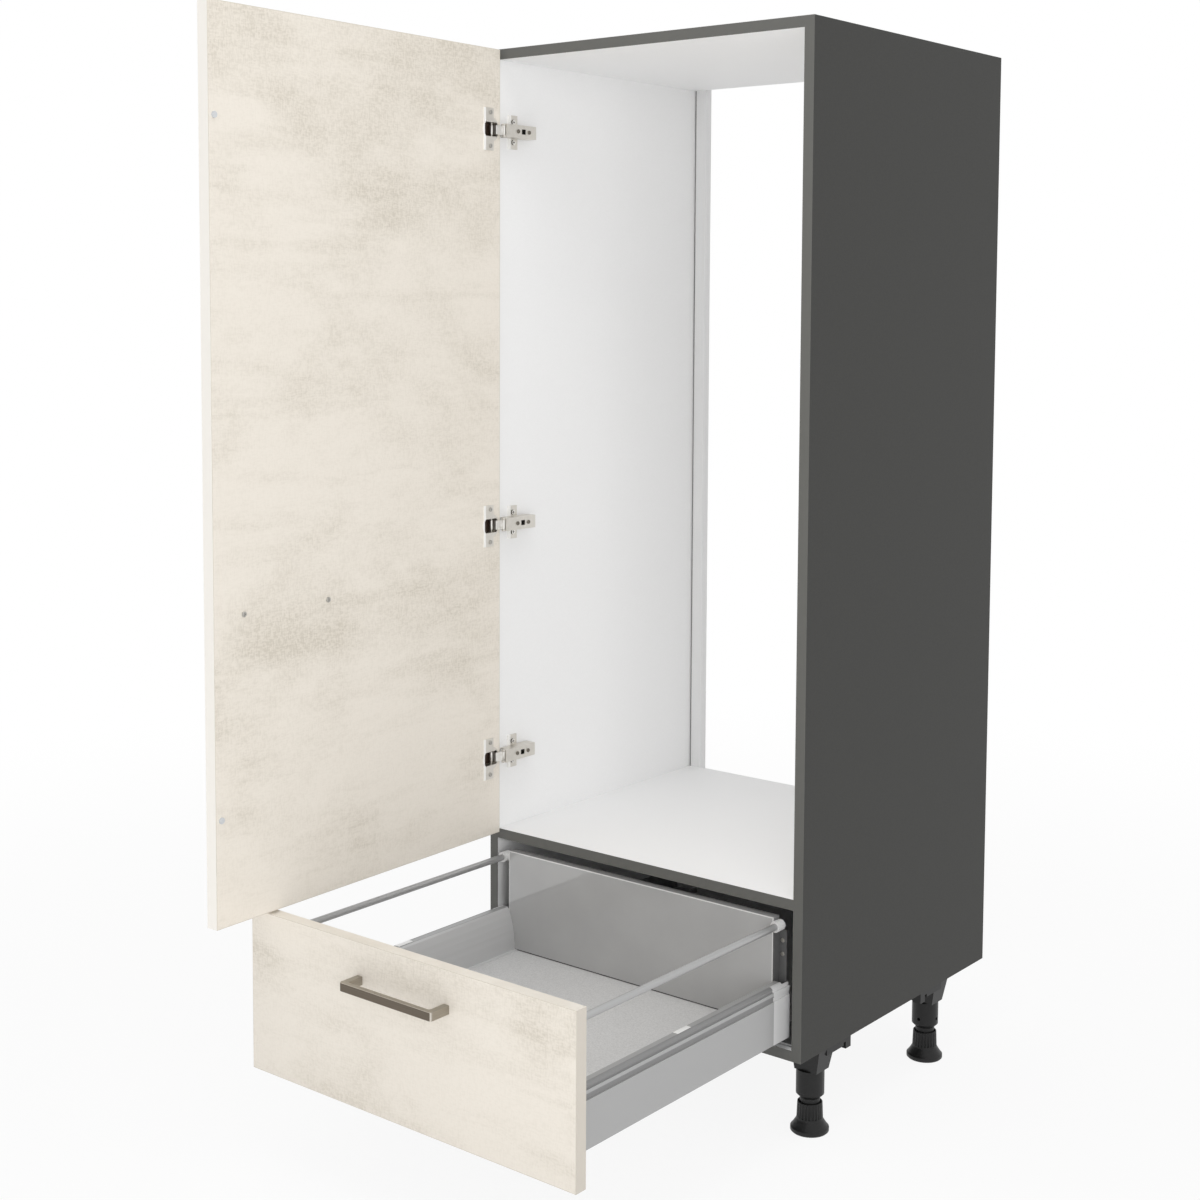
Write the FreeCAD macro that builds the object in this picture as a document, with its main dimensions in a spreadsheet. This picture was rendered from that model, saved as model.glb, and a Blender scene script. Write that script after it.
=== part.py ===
import FreeCAD, Part
import math
import os
import re
import Sketcher
from FreeCAD import Placement, Rotation, Vector

# Tall kitchen housing for a built-in fridge: an open-backed niche with a left-hung door,
# and below it a full-extension drawer with double-walled steel sides, on four levelling feet.
# Millimetres. X runs to the right, Y to the back, Z up. The origin is on the floor, in the
# middle of the width, in the plane of the closed fronts' outer faces.
# Every piece is modelled with door and drawer closed. Placements then open them.

SIZES = {
    # carcass
    "unit_width": 600,
    "carcass_depth": 560,
    "carcass_height": 1485,
    "panel_thickness": 16,
    "shelf_level": 238,
    "rear_recess": 32,
    "strip_width": 24,
    "strip_thickness": 16,
    "strip_gap": 1,
    "back_board_thickness": 3,
    "dowel_radius": 4,
    "dowel_length": 30,
    "dowel_in_side": 11,
    "dowel_end_room": 0.5,
    "dowel_inset": 60,
    "fit_clearance": 0.05,
    "slide_clearance": 0.3,
    # fronts
    "front_thickness": 19,
    "front_gap": 2,
    "front_reveal": 2,
    "front_spacing": 4,
    "drawer_front_height": 231,
    "edge_band": 1,
    "bumper_radius": 4.5,
    "bumper_inset": 10,
    "bumper_end_distance": 150,
    "bumper_clearance": 0.2,
    # opening shown at rest
    "door_open_angle": 88,
    "drawer_stay": 10,
    # bow handles
    "handle_spacing": 160,
    "handle_leg": 10,
    "handle_projection": 34,
    "handle_bar": 8,
    "handle_height": 12,
    "handle_corner": 4.5,
    "handle_inner_corner": 2.5,
    "handle_edge": 0.8,
    "drawer_handle_drop": 52,
    "door_handle_inset": 54,
    "door_handle_rise": 427,
    "handle_screw_radius": 2,
    "handle_screw_head": 4,
    "handle_screw_grip": 12,
    "screw_head_height": 1.5,
    # concealed hinges
    "hinge_end_distance": 125,
    "hinge_middle_rise": 375,
    "hinge_pin_radius": 1.5,
    "arm_pin_inset": 16,
    "arm_pin_lead": 4,
    "cup_pin_inset": 11,
    "cup_pin_depth": 8,
    "link_turn_ratio": 0.34,
    "link_thickness": 2,
    "link_half_height": 7.2,
    "link_eye_radius": 2.8,
    "link_bend_along": 7,
    "link_bend_offset": 5.8,
    "cup_centre_inset": 22.5,
    "cup_radius": 17.5,
    "cup_depth": 14.9,
    "cup_floor": 1,
    "cup_wall": 0.6,
    "cup_mouth_half_height": 11,
    "flange_thickness": 1.2,
    "flange_rim": 1.5,
    "flange_height": 66,
    "flange_start": 16.5,
    "flange_end": 39.5,
    "cup_screw_spacing": 52,
    "cup_screw_inset": 24,
    "cup_screw_radius": 1.9,
    "cup_screw_head": 3.4,
    "cup_screw_grip": 10,
    "damper_thickness": 0.9,
    "plate_thickness": 3,
    "plate_wing_height": 53,
    "plate_wing_width": 20,
    "plate_screw_line": 32,
    "plate_screw_spacing": 32,
    "plate_screw_radius": 2.4,
    "plate_screw_head": 4,
    "plate_screw_grip": 10,
    "rail_rise": 8,
    "rail_half_height": 8.7,
    "arm_front": 1,
    "arm_length": 66,
    "arm_rise": 21,
    "arm_gauge": 1.5,
    "arm_lug_radius": 3.2,
    "arm_screw_radius": 2,
    "arm_screw_head": 3.2,
    "arm_screw_front": 24,
    "arm_screw_pitch": 26,
    "arm_window_length": 9,
    "arm_window_height": 8,
    # drawer box
    "side_gap": 10,
    "drawer_rear_room": 36,
    "side_drop": 31,
    "side_shoulder": 95,
    "side_top": 115,
    "side_width": 20,
    "side_groove_depth": 1.6,
    "side_groove_height": 6,
    "side_bead_depth": 0.6,
    "side_bead_height": 7,
    "side_step": 3,
    "side_bevel": 3,
    "side_lean": 13,
    "side_foot_width": 5,
    "steel_gauge": 1.2,
    "board_thickness": 16,
    "board_edge_inset": 34,
    "back_height": 160,
    "railing_radius": 5,
    "railing_wall": 1,
    "railing_level": 197,
    "railing_inset": 12,
    "holder_radius": 8,
    "holder_length": 12,
    "holder_seat": 2,
    "clamp_length": 16,
    "front_bracket_width": 14,
    "front_bracket_low": 55,
    "front_bracket_high": 92,
    "front_bracket_length": 40,
    "bracket_gauge": 1.5,
    "bracket_width": 14,
    "bracket_top": 188,
    "bracket_screw_radius": 1.8,
    "bracket_screw_head": 3.2,
    "bracket_screw_high": 172,
    "bracket_screw_pitch": 20,
    # runners
    "runner_setback": 10,
    "runner_end_step": 2,
    "runner_floor": 18,
    "runner_gauge": 2,
    "runner_wall_height": 40,
    "runner_width": 46,
    "runner_lip": 9,
    "member_width": 14,
    "member_height": 9.4,
    "member_wall": 1.5,
    "member_inset": 28,
    "drawer_member_height": 14,
    "runner_screw_radius": 2.2,
    "runner_screw_head": 3.5,
    "runner_screw_grip": 10,
    "runner_screw_inset": 27,
    "runner_screw_level": 48,
    # levelling feet
    "foot_height": 130,
    "foot_inset_side": 28,
    "foot_inset_front": 71,
    "foot_inset_rear": 143,
    "disc_radius": 28.6,
    "disc_height": 7,
    "disc_edge": 2,
    "collar_radius": 18.6,
    "collar_foot_radius": 19.6,
    "flare_radius": 22.5,
    "flare_height": 15,
    "collar_low": 20,
    "collar_high": 45.5,
    "collar_rim": 0.8,
    "collar_bore": 17,
    "collar_floor": 30,
    "rib_radius": 1.3,
    "stem_radius": 12,
    "stem_room": 30,
    "sleeve_neck_low": 40,
    "sleeve_neck_radius": 15.2,
    "sleeve_low": 52,
    "sleeve_radius": 21,
    "sleeve_taper": 6,
    "sleeve_stem_radius": 16.6,
    "sleeve_hole_radius": 2.6,
    "sleeve_hole_rise": 16,
    "socket_height": 35,
    "socket_roof": 10,
    "socket_half_width": 21,
    "socket_draft": 4,
    "socket_plate": 10,
    "socket_arm_length": 26,
    "socket_lug_gap": 6,
    "socket_lug_width": 14,
    "socket_lug_length": 14,
    "socket_lug_drop": 16,
    "socket_bridge": 5,
    "socket_screw_radius": 2,
    "socket_screw_head": 3.6,
    "socket_screw_grip": 20,
    "socket_screw_reach": 35,
    "socket_screw_inner": 12,
}

COLLAR_RIBS = 24
SIDE_WALL_CHORDS = 6
DOWELS_PER_JOINT = 3
RUNNER_SCREWS = 3

doc = FreeCAD.newDocument("FridgeHousing")
sheet = doc.addObject("Spreadsheet::Sheet", "Sizes")
for row, (alias, value) in enumerate(SIZES.items(), start=1):
    sheet.set(f"A{row}", alias)
    sheet.set(f"B{row}", str(value))
    sheet.setAlias(f"B{row}", alias)
doc.recompute()

# Places that several pieces share, as formulas of the sheet's cells

FRONT = "(front_thickness + front_gap)"
INNER = "(unit_width/2 - panel_thickness)"
REAR_STOP = f"({FRONT} + carcass_depth - rear_recess)"
CARCASS_TOP = "(foot_height + carcass_height)"
SHELF_TOP = "(foot_height + shelf_level)"
FRONT_EDGE = "(unit_width/2 - front_reveal)"
DRAWER_FRONT_TOP = "(foot_height + drawer_front_height)"
DOOR_LOW = f"({DRAWER_FRONT_TOP} + front_spacing)"
DOOR_HIGH = f"({CARCASS_TOP} - front_reveal)"
HINGE_LEVELS = {
    "top": f"({DOOR_HIGH} - hinge_end_distance)",
    "middle": f"({DOOR_LOW} + hinge_end_distance + hinge_middle_rise)",
    "bottom": f"({DOOR_LOW} + hinge_end_distance)",
}
CROSS_PANEL_LEVELS = {
    "top_panel": f"({CARCASS_TOP} - panel_thickness)",
    "niche_shelf": f"({SHELF_TOP} - panel_thickness)",
    "bottom_panel": "foot_height",
}
ARM_PIN = (f"(arm_pin_inset - {INNER})", f"({FRONT} - arm_pin_lead)")
CUP_PIN = (f"(cup_pin_inset - {FRONT_EDGE})", "(front_thickness - cup_pin_depth)")
CUP_PIN_HALF = "(cup_mouth_half_height + cup_wall/2)"
SIDE_OUTER = f"({INNER} - side_gap)"
SIDE_INNER = f"({SIDE_OUTER} - side_width)"
DRAWER_FLOOR = "(foot_height + side_drop + board_thickness)"
DRAWER_REAR = f"({REAR_STOP} - drawer_rear_room)"
SIDE_LENGTH = f"({DRAWER_REAR} - front_thickness)"
DRAWER_PULL = f"({DRAWER_REAR} - {FRONT} - drawer_stay)"
BACK_FRONT = f"({DRAWER_REAR} - board_thickness)"
BOARD_EDGE = f"({SIDE_OUTER} - board_edge_inset)"
RAILING_X = f"({SIDE_OUTER} - railing_inset)"
RAILING_Z = "(foot_height + railing_level)"
RUNNER_FRONT = f"({FRONT} + runner_setback)"
RUNNER_LENGTH = f"({DRAWER_REAR} - runner_end_step - {RUNNER_FRONT})"
RUNNER_FLOOR = "(foot_height + runner_floor)"
MEMBER_OUTER = f"({INNER} - member_inset)"
MEMBER_LOW = f"({RUNNER_FLOOR} + runner_gauge + slide_clearance)"
DRAWER_MEMBER_LOW = f"({MEMBER_LOW} + member_height + slide_clearance)"
FEET = {
    "front_left": ("left", f"({FRONT} + foot_inset_front)", 1),
    "front_right": ("right", f"({FRONT} + foot_inset_front)", 1),
    "rear_left": ("left", f"({FRONT} + carcass_depth - foot_inset_rear)", -1),
    "rear_right": ("right", f"({FRONT} + carcass_depth - foot_inset_rear)", -1),
}
FOOT_X = "(unit_width/2 - foot_inset_side)"
SLEEVE_HIGH = "(foot_height - socket_height)"
SLEEVE_STEM_TOP = "(foot_height - socket_roof)"

parts = {}


def formula(text):
    """Turn size names in a formula into references to the sheet's cells."""
    return re.sub(r"[a-z]\w+", lambda m: "Sizes." + m[0] if m[0] in SIZES else m[0], str(text))


def bind(thing, name, text):
    thing.setExpression(name, formula(text))


def place(thing, at):
    for axis, text in zip("xyz", at):
        bind(thing, f"Placement.Base.{axis}", text)


def mirrored(side, text):
    """A distance from the middle plane, as an X coordinate on one side of the unit."""
    return f"({text})" if side == "right" else f"(-({text}))"


def box(name, low, size):
    block = doc.addObject("Part::Box", name)
    for prop, text in zip(("Length", "Width", "Height"), size):
        bind(block, prop, text)
    place(block, low)
    return block


def slab(name, side, near, far, low_yz, size_yz):
    """A box between two distances from the middle plane, on one side of the unit."""
    low_x = mirrored(side, near if side == "right" else far)
    return box(name, (low_x, *low_yz), (f"({far}) - ({near})", *size_yz))


AXIS_TURN = {
    "X": Rotation(Vector(0, 1, 0), 90),
    "Y": Rotation(Vector(1, 0, 0), -90),
    "Z": Rotation(),
}


def rod(name, axis, start, radius, length):
    """A cylinder that starts at a point and runs along +X, +Y or +Z."""
    cylinder = doc.addObject("Part::Cylinder", name)
    bind(cylinder, "Radius", radius)
    bind(cylinder, "Height", length)
    cylinder.Placement = Placement(Vector(), AXIS_TURN[axis])
    place(cylinder, start)
    return cylinder


def side_rod(name, side, near, far, y, z, radius):
    """A cylinder along X between two distances from the middle plane."""
    low_x = mirrored(side, near if side == "right" else far)
    return rod(name, "X", (low_x, y, z), radius, f"({far}) - ({near})")


def group(label, pieces):
    compound = doc.addObject("Part::Compound", label)
    compound.Links = pieces
    return compound


def fused(name, pieces):
    union = doc.addObject("Part::MultiFuse", name)
    union.Shapes = pieces
    return union


def drilled(label, blank, bores):
    cut = doc.addObject("Part::Cut", label)
    cut.Base = blank
    cut.Tool = group(label + "_bores", bores)
    return cut


def origin_plane(body, role):
    return [feature for feature in body.Origin.OriginFeatures if feature.Role == role][0]


def outline_sketch(body, name, role, loops):
    """A closed outline whose corners are bound to formulas, drawn on an origin plane."""
    sketch = body.newObject("Sketcher::SketchObject", name)
    sketch.AttachmentSupport = [(origin_plane(body, role), "")]
    sketch.MapMode = "FlatFace"
    for loop in loops:
        first = sketch.GeometryCount
        count = len(loop)
        ring = [Vector(math.cos(math.tau * i / count), math.sin(math.tau * i / count), 0)
                for i in range(count)]
        for i in range(count):
            sketch.addGeometry(Part.LineSegment(ring[i], ring[(i + 1) % count]), False)
        for i in range(count):
            following = first + (i + 1) % count
            sketch.addConstraint(Sketcher.Constraint("Coincident", first + i, 2, following, 1))
        for i, corner in enumerate(loop):
            for kind, start, text in zip(("DistanceX", "DistanceY"), ring[i], corner):
                index = sketch.addConstraint(
                    Sketcher.Constraint(kind, -1, 1, first + i, 1, start))
                bind(sketch, f"Constraints[{index}]", text)
    return sketch


def prism(label, role, loops, start, length):
    """A padded outline: along +Z from the XY plane, along +Y from the XZ plane."""
    body = doc.addObject("PartDesign::Body", label)
    sketch = outline_sketch(body, label + "_outline", role, loops)
    facing_back = role == "XZ_Plane"
    bind(sketch, "AttachmentOffset.Base.z", f"-({start})" if facing_back else start)
    pad = body.newObject("PartDesign::Pad", label + "_pad")
    pad.Profile = sketch
    pad.Reversed = facing_back
    bind(pad, "Length", length)
    return body


def turned(label, profile):
    """A body turned round its own Z axis from a profile of radius and height."""
    body = doc.addObject("PartDesign::Body", label)
    sketch = outline_sketch(body, label + "_profile", "XZ_Plane", [profile])
    revolution = body.newObject("PartDesign::Revolution", label + "_turning")
    revolution.Profile = sketch
    revolution.ReferenceAxis = (sketch, ["V_Axis"])
    revolution.Angle = 360
    return body


def rounded(body, wanted, radius):
    """Round the edges of a body that a test picks by their end points."""
    doc.recompute()
    sharp = body.Tip
    names = [f"Edge{i + 1}" for i, edge in enumerate(sharp.Shape.Edges) if wanted(edge)]
    fillet = body.newObject("PartDesign::Fillet", f"{body.Name}_round{len(body.Group)}")
    fillet.Base = (sharp, names)
    bind(fillet, "Radius", radius)


def keep(label, piece):
    """Hand in a finished piece under its label."""
    piece.Label = label
    parts[label] = piece
    return piece


def turn_about(piece, centre, moved_to, angle):
    """Turn a piece about a vertical axis that travels from centre to moved_to."""
    (x, y), (new_x, new_y) = centre, moved_to
    bind(piece, "Placement.Rotation.Angle", angle)
    bind(piece, "Placement.Base.x", f"{new_x} - ({x}*cos({angle}) - {y}*sin({angle}))")
    bind(piece, "Placement.Base.y", f"{new_y} - ({x}*sin({angle}) + {y}*cos({angle}))")


LINK_TURN = "(link_turn_ratio*door_open_angle)"
PIN_STEP = tuple(f"({cup} - {arm})" for cup, arm in zip(CUP_PIN, ARM_PIN))
CUP_PIN_OPEN = (
    f"({ARM_PIN[0]} + {PIN_STEP[0]}*cos({LINK_TURN}) - {PIN_STEP[1]}*sin({LINK_TURN}))",
    f"({ARM_PIN[1]} + {PIN_STEP[0]}*sin({LINK_TURN}) + {PIN_STEP[1]}*cos({LINK_TURN}))",
)


def on_door(label, piece):
    """The door turns about the cup pins, which the links carry round the arm pins."""
    turn_about(piece, CUP_PIN, CUP_PIN_OPEN, "(-door_open_angle)")
    return keep(label, piece)


def on_links(label, piece):
    turn_about(piece, ARM_PIN, ARM_PIN, LINK_TURN)
    return keep(label, piece)


def on_drawer(label, piece, share=1):
    """The drawer slides out by its full pull, the middle runner members by half of it."""
    bind(piece, "Placement.Base.y", f"-{DRAWER_PULL}*{share}")
    return keep(label, piece)


def screw(name, axis, head_side, seat, radius, grip, head_radius):
    """A pan-head screw. Its head stands off the seat towards head_side, its shank grips beyond."""
    step = "XYZ".index(axis)
    head_start = list(seat)
    shank_start = list(seat)
    if head_side < 0:
        head_start[step] = f"{seat[step]} - screw_head_height"
    else:
        shank_start[step] = f"{seat[step]} - ({grip})"
    head = rod(name + "_head", axis, head_start, head_radius, "screw_head_height")
    shank = rod(name + "_shank", axis, shank_start, radius, grip)
    return fused(name, [head, shank])


# Carcass: two full-height sides, three cross panels dowelled between them

def dowel_places():
    for panel, level in CROSS_PANEL_LEVELS.items():
        for i in range(DOWELS_PER_JOINT):
            step = f"(carcass_depth - rear_recess - 2*dowel_inset)/{DOWELS_PER_JOINT - 1}"
            y = f"{FRONT} + dowel_inset + {i}*{step}"
            yield panel, i, y, f"{level} + panel_thickness/2"


def dowel_bore(name, side, near, far, y, z):
    return side_rod(name, side, near, far, y, z, "dowel_radius + fit_clearance")


def socket_screw_places(foot):
    """One screw goes up into the bottom panel and one into the side panel's lower edge."""
    side, y, towards = FEET[foot]
    for into, across in (("bottom", "-socket_screw_inner"),
                         ("side", "foot_inset_side - panel_thickness/2")):
        yield into, mirrored(side, f"{FOOT_X} + {across}"), f"{y} + {towards}*socket_screw_reach"


def socket_screw_bores(side_wanted, into_wanted):
    bores = []
    for foot, (side, _, _) in FEET.items():
        for into, x, y in socket_screw_places(foot):
            if side == side_wanted and into == into_wanted:
                bores.append(rod(f"{foot}_pilot_{into}", "Z", (x, y, "foot_height"),
                                 "socket_screw_radius + fit_clearance",
                                 "socket_screw_grip - socket_plate + dowel_end_room"))
    return bores


def runner_screw_places():
    for i in range(RUNNER_SCREWS):
        pitch = f"({RUNNER_LENGTH} - 2*runner_screw_inset)/{RUNNER_SCREWS - 1}"
        yield i, f"{RUNNER_FRONT} + runner_screw_inset + {i}*{pitch}"


RUNNER_SCREW_Z = "(foot_height + runner_screw_level)"


def hinge_plate_screw_places():
    for name, level in HINGE_LEVELS.items():
        for sign in (-1, 1):
            z = f"{level} + {sign}*plate_screw_spacing/2"
            yield f"{name}_{sign + 1}", f"({FRONT} + plate_screw_line)", z


def side_panel(side):
    label = f"{side}_side_panel"
    blank = slab(label + "_blank", side, INNER, "unit_width/2", (FRONT, "foot_height"),
                 ("carcass_depth", "carcass_height"))
    bores = socket_screw_bores(side, "side")
    for panel, i, y, z in dowel_places():
        far = f"{INNER} + dowel_in_side + dowel_end_room"
        bores.append(dowel_bore(f"{label}_{panel}_{i}", side, INNER, far, y, z))
    for i, y in runner_screw_places():
        far = f"{INNER} + runner_screw_grip - runner_gauge + dowel_end_room"
        bores.append(side_rod(f"{label}_runner_{i}", side, INNER, far, y, RUNNER_SCREW_Z,
                              "runner_screw_radius + fit_clearance"))
    if side == "left":
        for name, y, z in hinge_plate_screw_places():
            far = f"{INNER} + plate_screw_grip - plate_thickness + dowel_end_room"
            bores.append(side_rod(f"{label}_hinge_{name}", side, INNER, far, y, z,
                                  "plate_screw_radius + fit_clearance"))
    keep(label, drilled(label, blank, bores))


def cross_panel(label):
    blank = box(label + "_blank", (f"-{INNER}", FRONT, CROSS_PANEL_LEVELS[label]),
                (f"2*{INNER}", "carcass_depth - rear_recess", "panel_thickness"))
    bores = []
    for side in ("left", "right"):
        for panel, i, y, z in dowel_places():
            if panel == label:
                near = f"{INNER} - (dowel_length - dowel_in_side + dowel_end_room)"
                bores.append(dowel_bore(f"{label}_{side}_{i}", side, near, INNER, y, z))
        if label == "bottom_panel":
            bores += socket_screw_bores(side, "bottom")
    keep(label, drilled(label, blank, bores))


def carcass_dowels():
    dowels = []
    for side in ("left", "right"):
        for panel, i, y, z in dowel_places():
            near = f"{INNER} + dowel_in_side - dowel_length"
            dowels.append(side_rod(f"dowel_{side}_{panel}_{i}", side, near,
                                   f"{INNER} + dowel_in_side", y, z, "dowel_radius"))
    keep("carcass_dowels", group("carcass_dowels", dowels))


def rear_strip(side):
    label = f"rear_strip_{side}"
    keep(label, slab(label, side, f"{INNER} - strip_width", f"{INNER} - strip_gap",
                     (REAR_STOP, "foot_height"), ("strip_thickness", "carcass_height")))


def drawer_compartment_back():
    label = "drawer_compartment_back"
    half = f"({INNER} - strip_width)"
    keep(label, box(label, (f"-{half}", REAR_STOP, "foot_height"),
                    (f"2*{half}", "back_board_thickness", "shelf_level")))


# Levelling feet: socket under the panel, sleeve in the socket, screw foot in the sleeve

def along(y, towards, near, far):
    """Low end and length of a stretch that runs from near to far, towards the back or the front."""
    low = f"{y} + {near}" if towards > 0 else f"{y} - ({far})"
    return low, f"({far}) - ({near})"


def foot_socket(foot):
    """A tapered block round the sleeve's stem, with an arm along the panel that ends in a lug."""
    side, y, towards = FEET[foot]
    half = "socket_half_width"
    taper = doc.addObject("Part::Wedge", f"{foot}_socket_taper")
    outer, inner = ("max", "min") if side == "right" else ("min", "max")
    out_sign, in_sign = ("", "-") if side == "right" else ("-", "")
    for prop, text in ((f"X{outer}", f"{out_sign}{half}"),
                       (f"X{inner}", f"{in_sign}({half} - socket_draft)"),
                       (f"X2{outer}", f"{out_sign}foot_inset_side"), (f"X2{inner}", f"{in_sign}{half}"),
                       ("Zmin", f"socket_draft - {half}"), ("Zmax", f"{half} - socket_draft"),
                       ("Z2min", f"-{half}"), ("Z2max", half),
                       ("Ymin", "0"), ("Ymax", "socket_height")):
        bind(taper, prop, text)
    taper.Placement = Placement(Vector(), Rotation(Vector(1, 0, 0), 90))
    place(taper, (mirrored(side, FOOT_X), y, SLEEVE_HIGH))
    arm_end = f"({half} + socket_arm_length)"
    lug_start = f"({arm_end} + socket_lug_gap)"
    lug_end = f"({lug_start} + socket_lug_length)"
    pieces = [taper]
    for name, near_x, near_y, far_y, tall in (
            ("arm", f"-{half}", "0", arm_end, "socket_plate"),
            ("bridge", "foot_inset_side - socket_lug_width", arm_end, lug_end, "socket_bridge"),
            ("lug", "foot_inset_side - socket_lug_width", lug_start, lug_end, "socket_lug_drop")):
        low_y, long = along(y, towards, near_y, far_y)
        pieces.append(slab(f"{foot}_socket_{name}", side, f"{FOOT_X} + {near_x}", "unit_width/2",
                           (low_y, f"foot_height - {tall}"), (long, tall)))
    bores = [rod(f"{foot}_socket_bore", "Z", (mirrored(side, FOOT_X), y, SLEEVE_HIGH),
                 "sleeve_stem_radius + fit_clearance", "socket_height - socket_roof")]
    for into, x, screw_y in socket_screw_places(foot):
        bores.append(rod(f"{foot}_socket_hole_{into}", "Z", (x, screw_y, "foot_height - socket_plate"),
                         "socket_screw_radius + fit_clearance", "socket_plate"))
    return drilled(f"{foot}_socket", fused(f"{foot}_socket_blank", pieces), bores)


def foot_socket_screws():
    screws = [screw(f"{foot}_screw_{into}", "Z", -1, (x, y, "(foot_height - socket_plate)"),
                    "socket_screw_radius", "socket_screw_grip", "socket_screw_head")
              for foot in FEET for into, x, y in socket_screw_places(foot)]
    keep("foot_socket_screws", group("foot_socket_screws", screws))


def foot_sleeve(foot):
    """A tube with a neck in the collar. Lock holes face inwards on front feet, outwards on rear feet."""
    side, y, facing = FEET[foot]
    x = mirrored(side, FOOT_X)
    bore = "stem_radius + slide_clearance"
    sleeve = turned(f"{foot}_sleeve_turned", [
        (bore, "sleeve_neck_low"),
        ("sleeve_neck_radius", "sleeve_neck_low"),
        ("sleeve_neck_radius", "sleeve_low"),
        ("sleeve_radius", "sleeve_low + sleeve_taper"),
        ("sleeve_radius", SLEEVE_HIGH),
        ("sleeve_stem_radius", SLEEVE_HIGH),
        ("sleeve_stem_radius", SLEEVE_STEM_TOP),
        (bore, SLEEVE_STEM_TOP),
    ])
    place(sleeve, (x, y, "0"))
    holes = []
    for axis, sign in (("X", -facing), ("Y", facing)):
        start = [x, y, "sleeve_low + sleeve_hole_rise"]
        if sign < 0:
            start["XYZ".index(axis)] += " - sleeve_radius"
        holes.append(rod(f"{foot}_sleeve_hole_{axis}", axis, start, "sleeve_hole_radius", "sleeve_radius"))
    return drilled(f"{foot}_sleeve", sleeve, holes)


def foot_adjuster(foot):
    side, y, _ = FEET[foot]
    label = f"foot_adjuster_{foot}"
    stem_top = "foot_height - stem_room"
    body = turned(label, [
        ("0", "0"),
        ("disc_radius - disc_edge", "0"),
        ("disc_radius", "disc_edge"),
        ("disc_radius", "disc_height"),
        ("disc_radius - disc_edge", "disc_height + disc_edge"),
        ("flare_radius", "flare_height"),
        ("collar_foot_radius", "collar_low"),
        ("collar_radius", "collar_high - collar_rim"),
        ("collar_radius - collar_rim", "collar_high"),
        ("collar_bore", "collar_high"),
        ("collar_bore", "collar_floor"),
        ("stem_radius", "collar_floor"),
        ("stem_radius", stem_top),
        ("0", stem_top),
    ])
    sketch = body.newObject("Sketcher::SketchObject", label + "_flute")
    sketch.AttachmentSupport = [(origin_plane(body, "XY_Plane"), "")]
    sketch.MapMode = "FlatFace"
    bind(sketch, "AttachmentOffset.Base.z", "collar_low + disc_edge")
    sketch.addGeometry(Part.Circle(Vector(1, 0, 0), Vector(0, 0, 1), 1), False)
    sketch.addConstraint(Sketcher.Constraint("PointOnObject", 0, 3, -1))
    reach = sketch.addConstraint(Sketcher.Constraint("DistanceX", -1, 1, 0, 3, 1))
    bind(sketch, f"Constraints[{reach}]", "collar_radius + rib_radius/2")
    width = sketch.addConstraint(Sketcher.Constraint("Radius", 0, 1))
    bind(sketch, f"Constraints[{width}]", "rib_radius")
    flute = body.newObject("PartDesign::Pocket", label + "_cut")
    flute.Profile = sketch
    flute.Reversed = True
    bind(flute, "Length", "collar_high - collar_low - disc_edge")
    pattern = body.newObject("PartDesign::PolarPattern", label + "_flutes")
    pattern.Originals = [flute]
    pattern.Axis = (origin_plane(body, "Z_Axis"), [""])
    pattern.Angle = 360
    pattern.Occurrences = COLLAR_RIBS
    body.Tip = pattern
    place(body, (mirrored(side, FOOT_X), y, "0"))
    keep(label, body)


# Fronts: a board core with an edge band on each edge

def banded_front(low_z, high_z, name, bores):
    wide = f"2*{FRONT_EDGE}"
    tall = f"({high_z} - {low_z})"
    core = box(name + "_blank", (f"edge_band - {FRONT_EDGE}", "0", f"{low_z} + edge_band"),
               (f"{wide} - 2*edge_band", "front_thickness", f"{tall} - 2*edge_band"))
    bands = [
        box(name + "_band_left", (f"-{FRONT_EDGE}", "0", low_z), ("edge_band", "front_thickness", tall)),
        box(name + "_band_right", (f"{FRONT_EDGE} - edge_band", "0", low_z),
            ("edge_band", "front_thickness", tall)),
        box(name + "_band_low", (f"edge_band - {FRONT_EDGE}", "0", low_z),
            (f"{wide} - 2*edge_band", "front_thickness", "edge_band")),
        box(name + "_band_high", (f"edge_band - {FRONT_EDGE}", "0", f"{high_z} - edge_band"),
            (f"{wide} - 2*edge_band", "front_thickness", "edge_band")),
    ]
    return drilled(name, core, bores), group(name + "_edge_bands", bands)


def handle_screw_places(middle):
    for sign in (-1, 1):
        yield f"{sign + 1}", f"({middle} + {sign}*handle_spacing/2)"


def handle_bores(name, middle, level):
    return [rod(f"{name}_handle_bore_{i}", "Y", (x, "0", level),
                "handle_screw_radius + fit_clearance", "front_thickness")
            for i, x in handle_screw_places(middle)]


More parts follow.
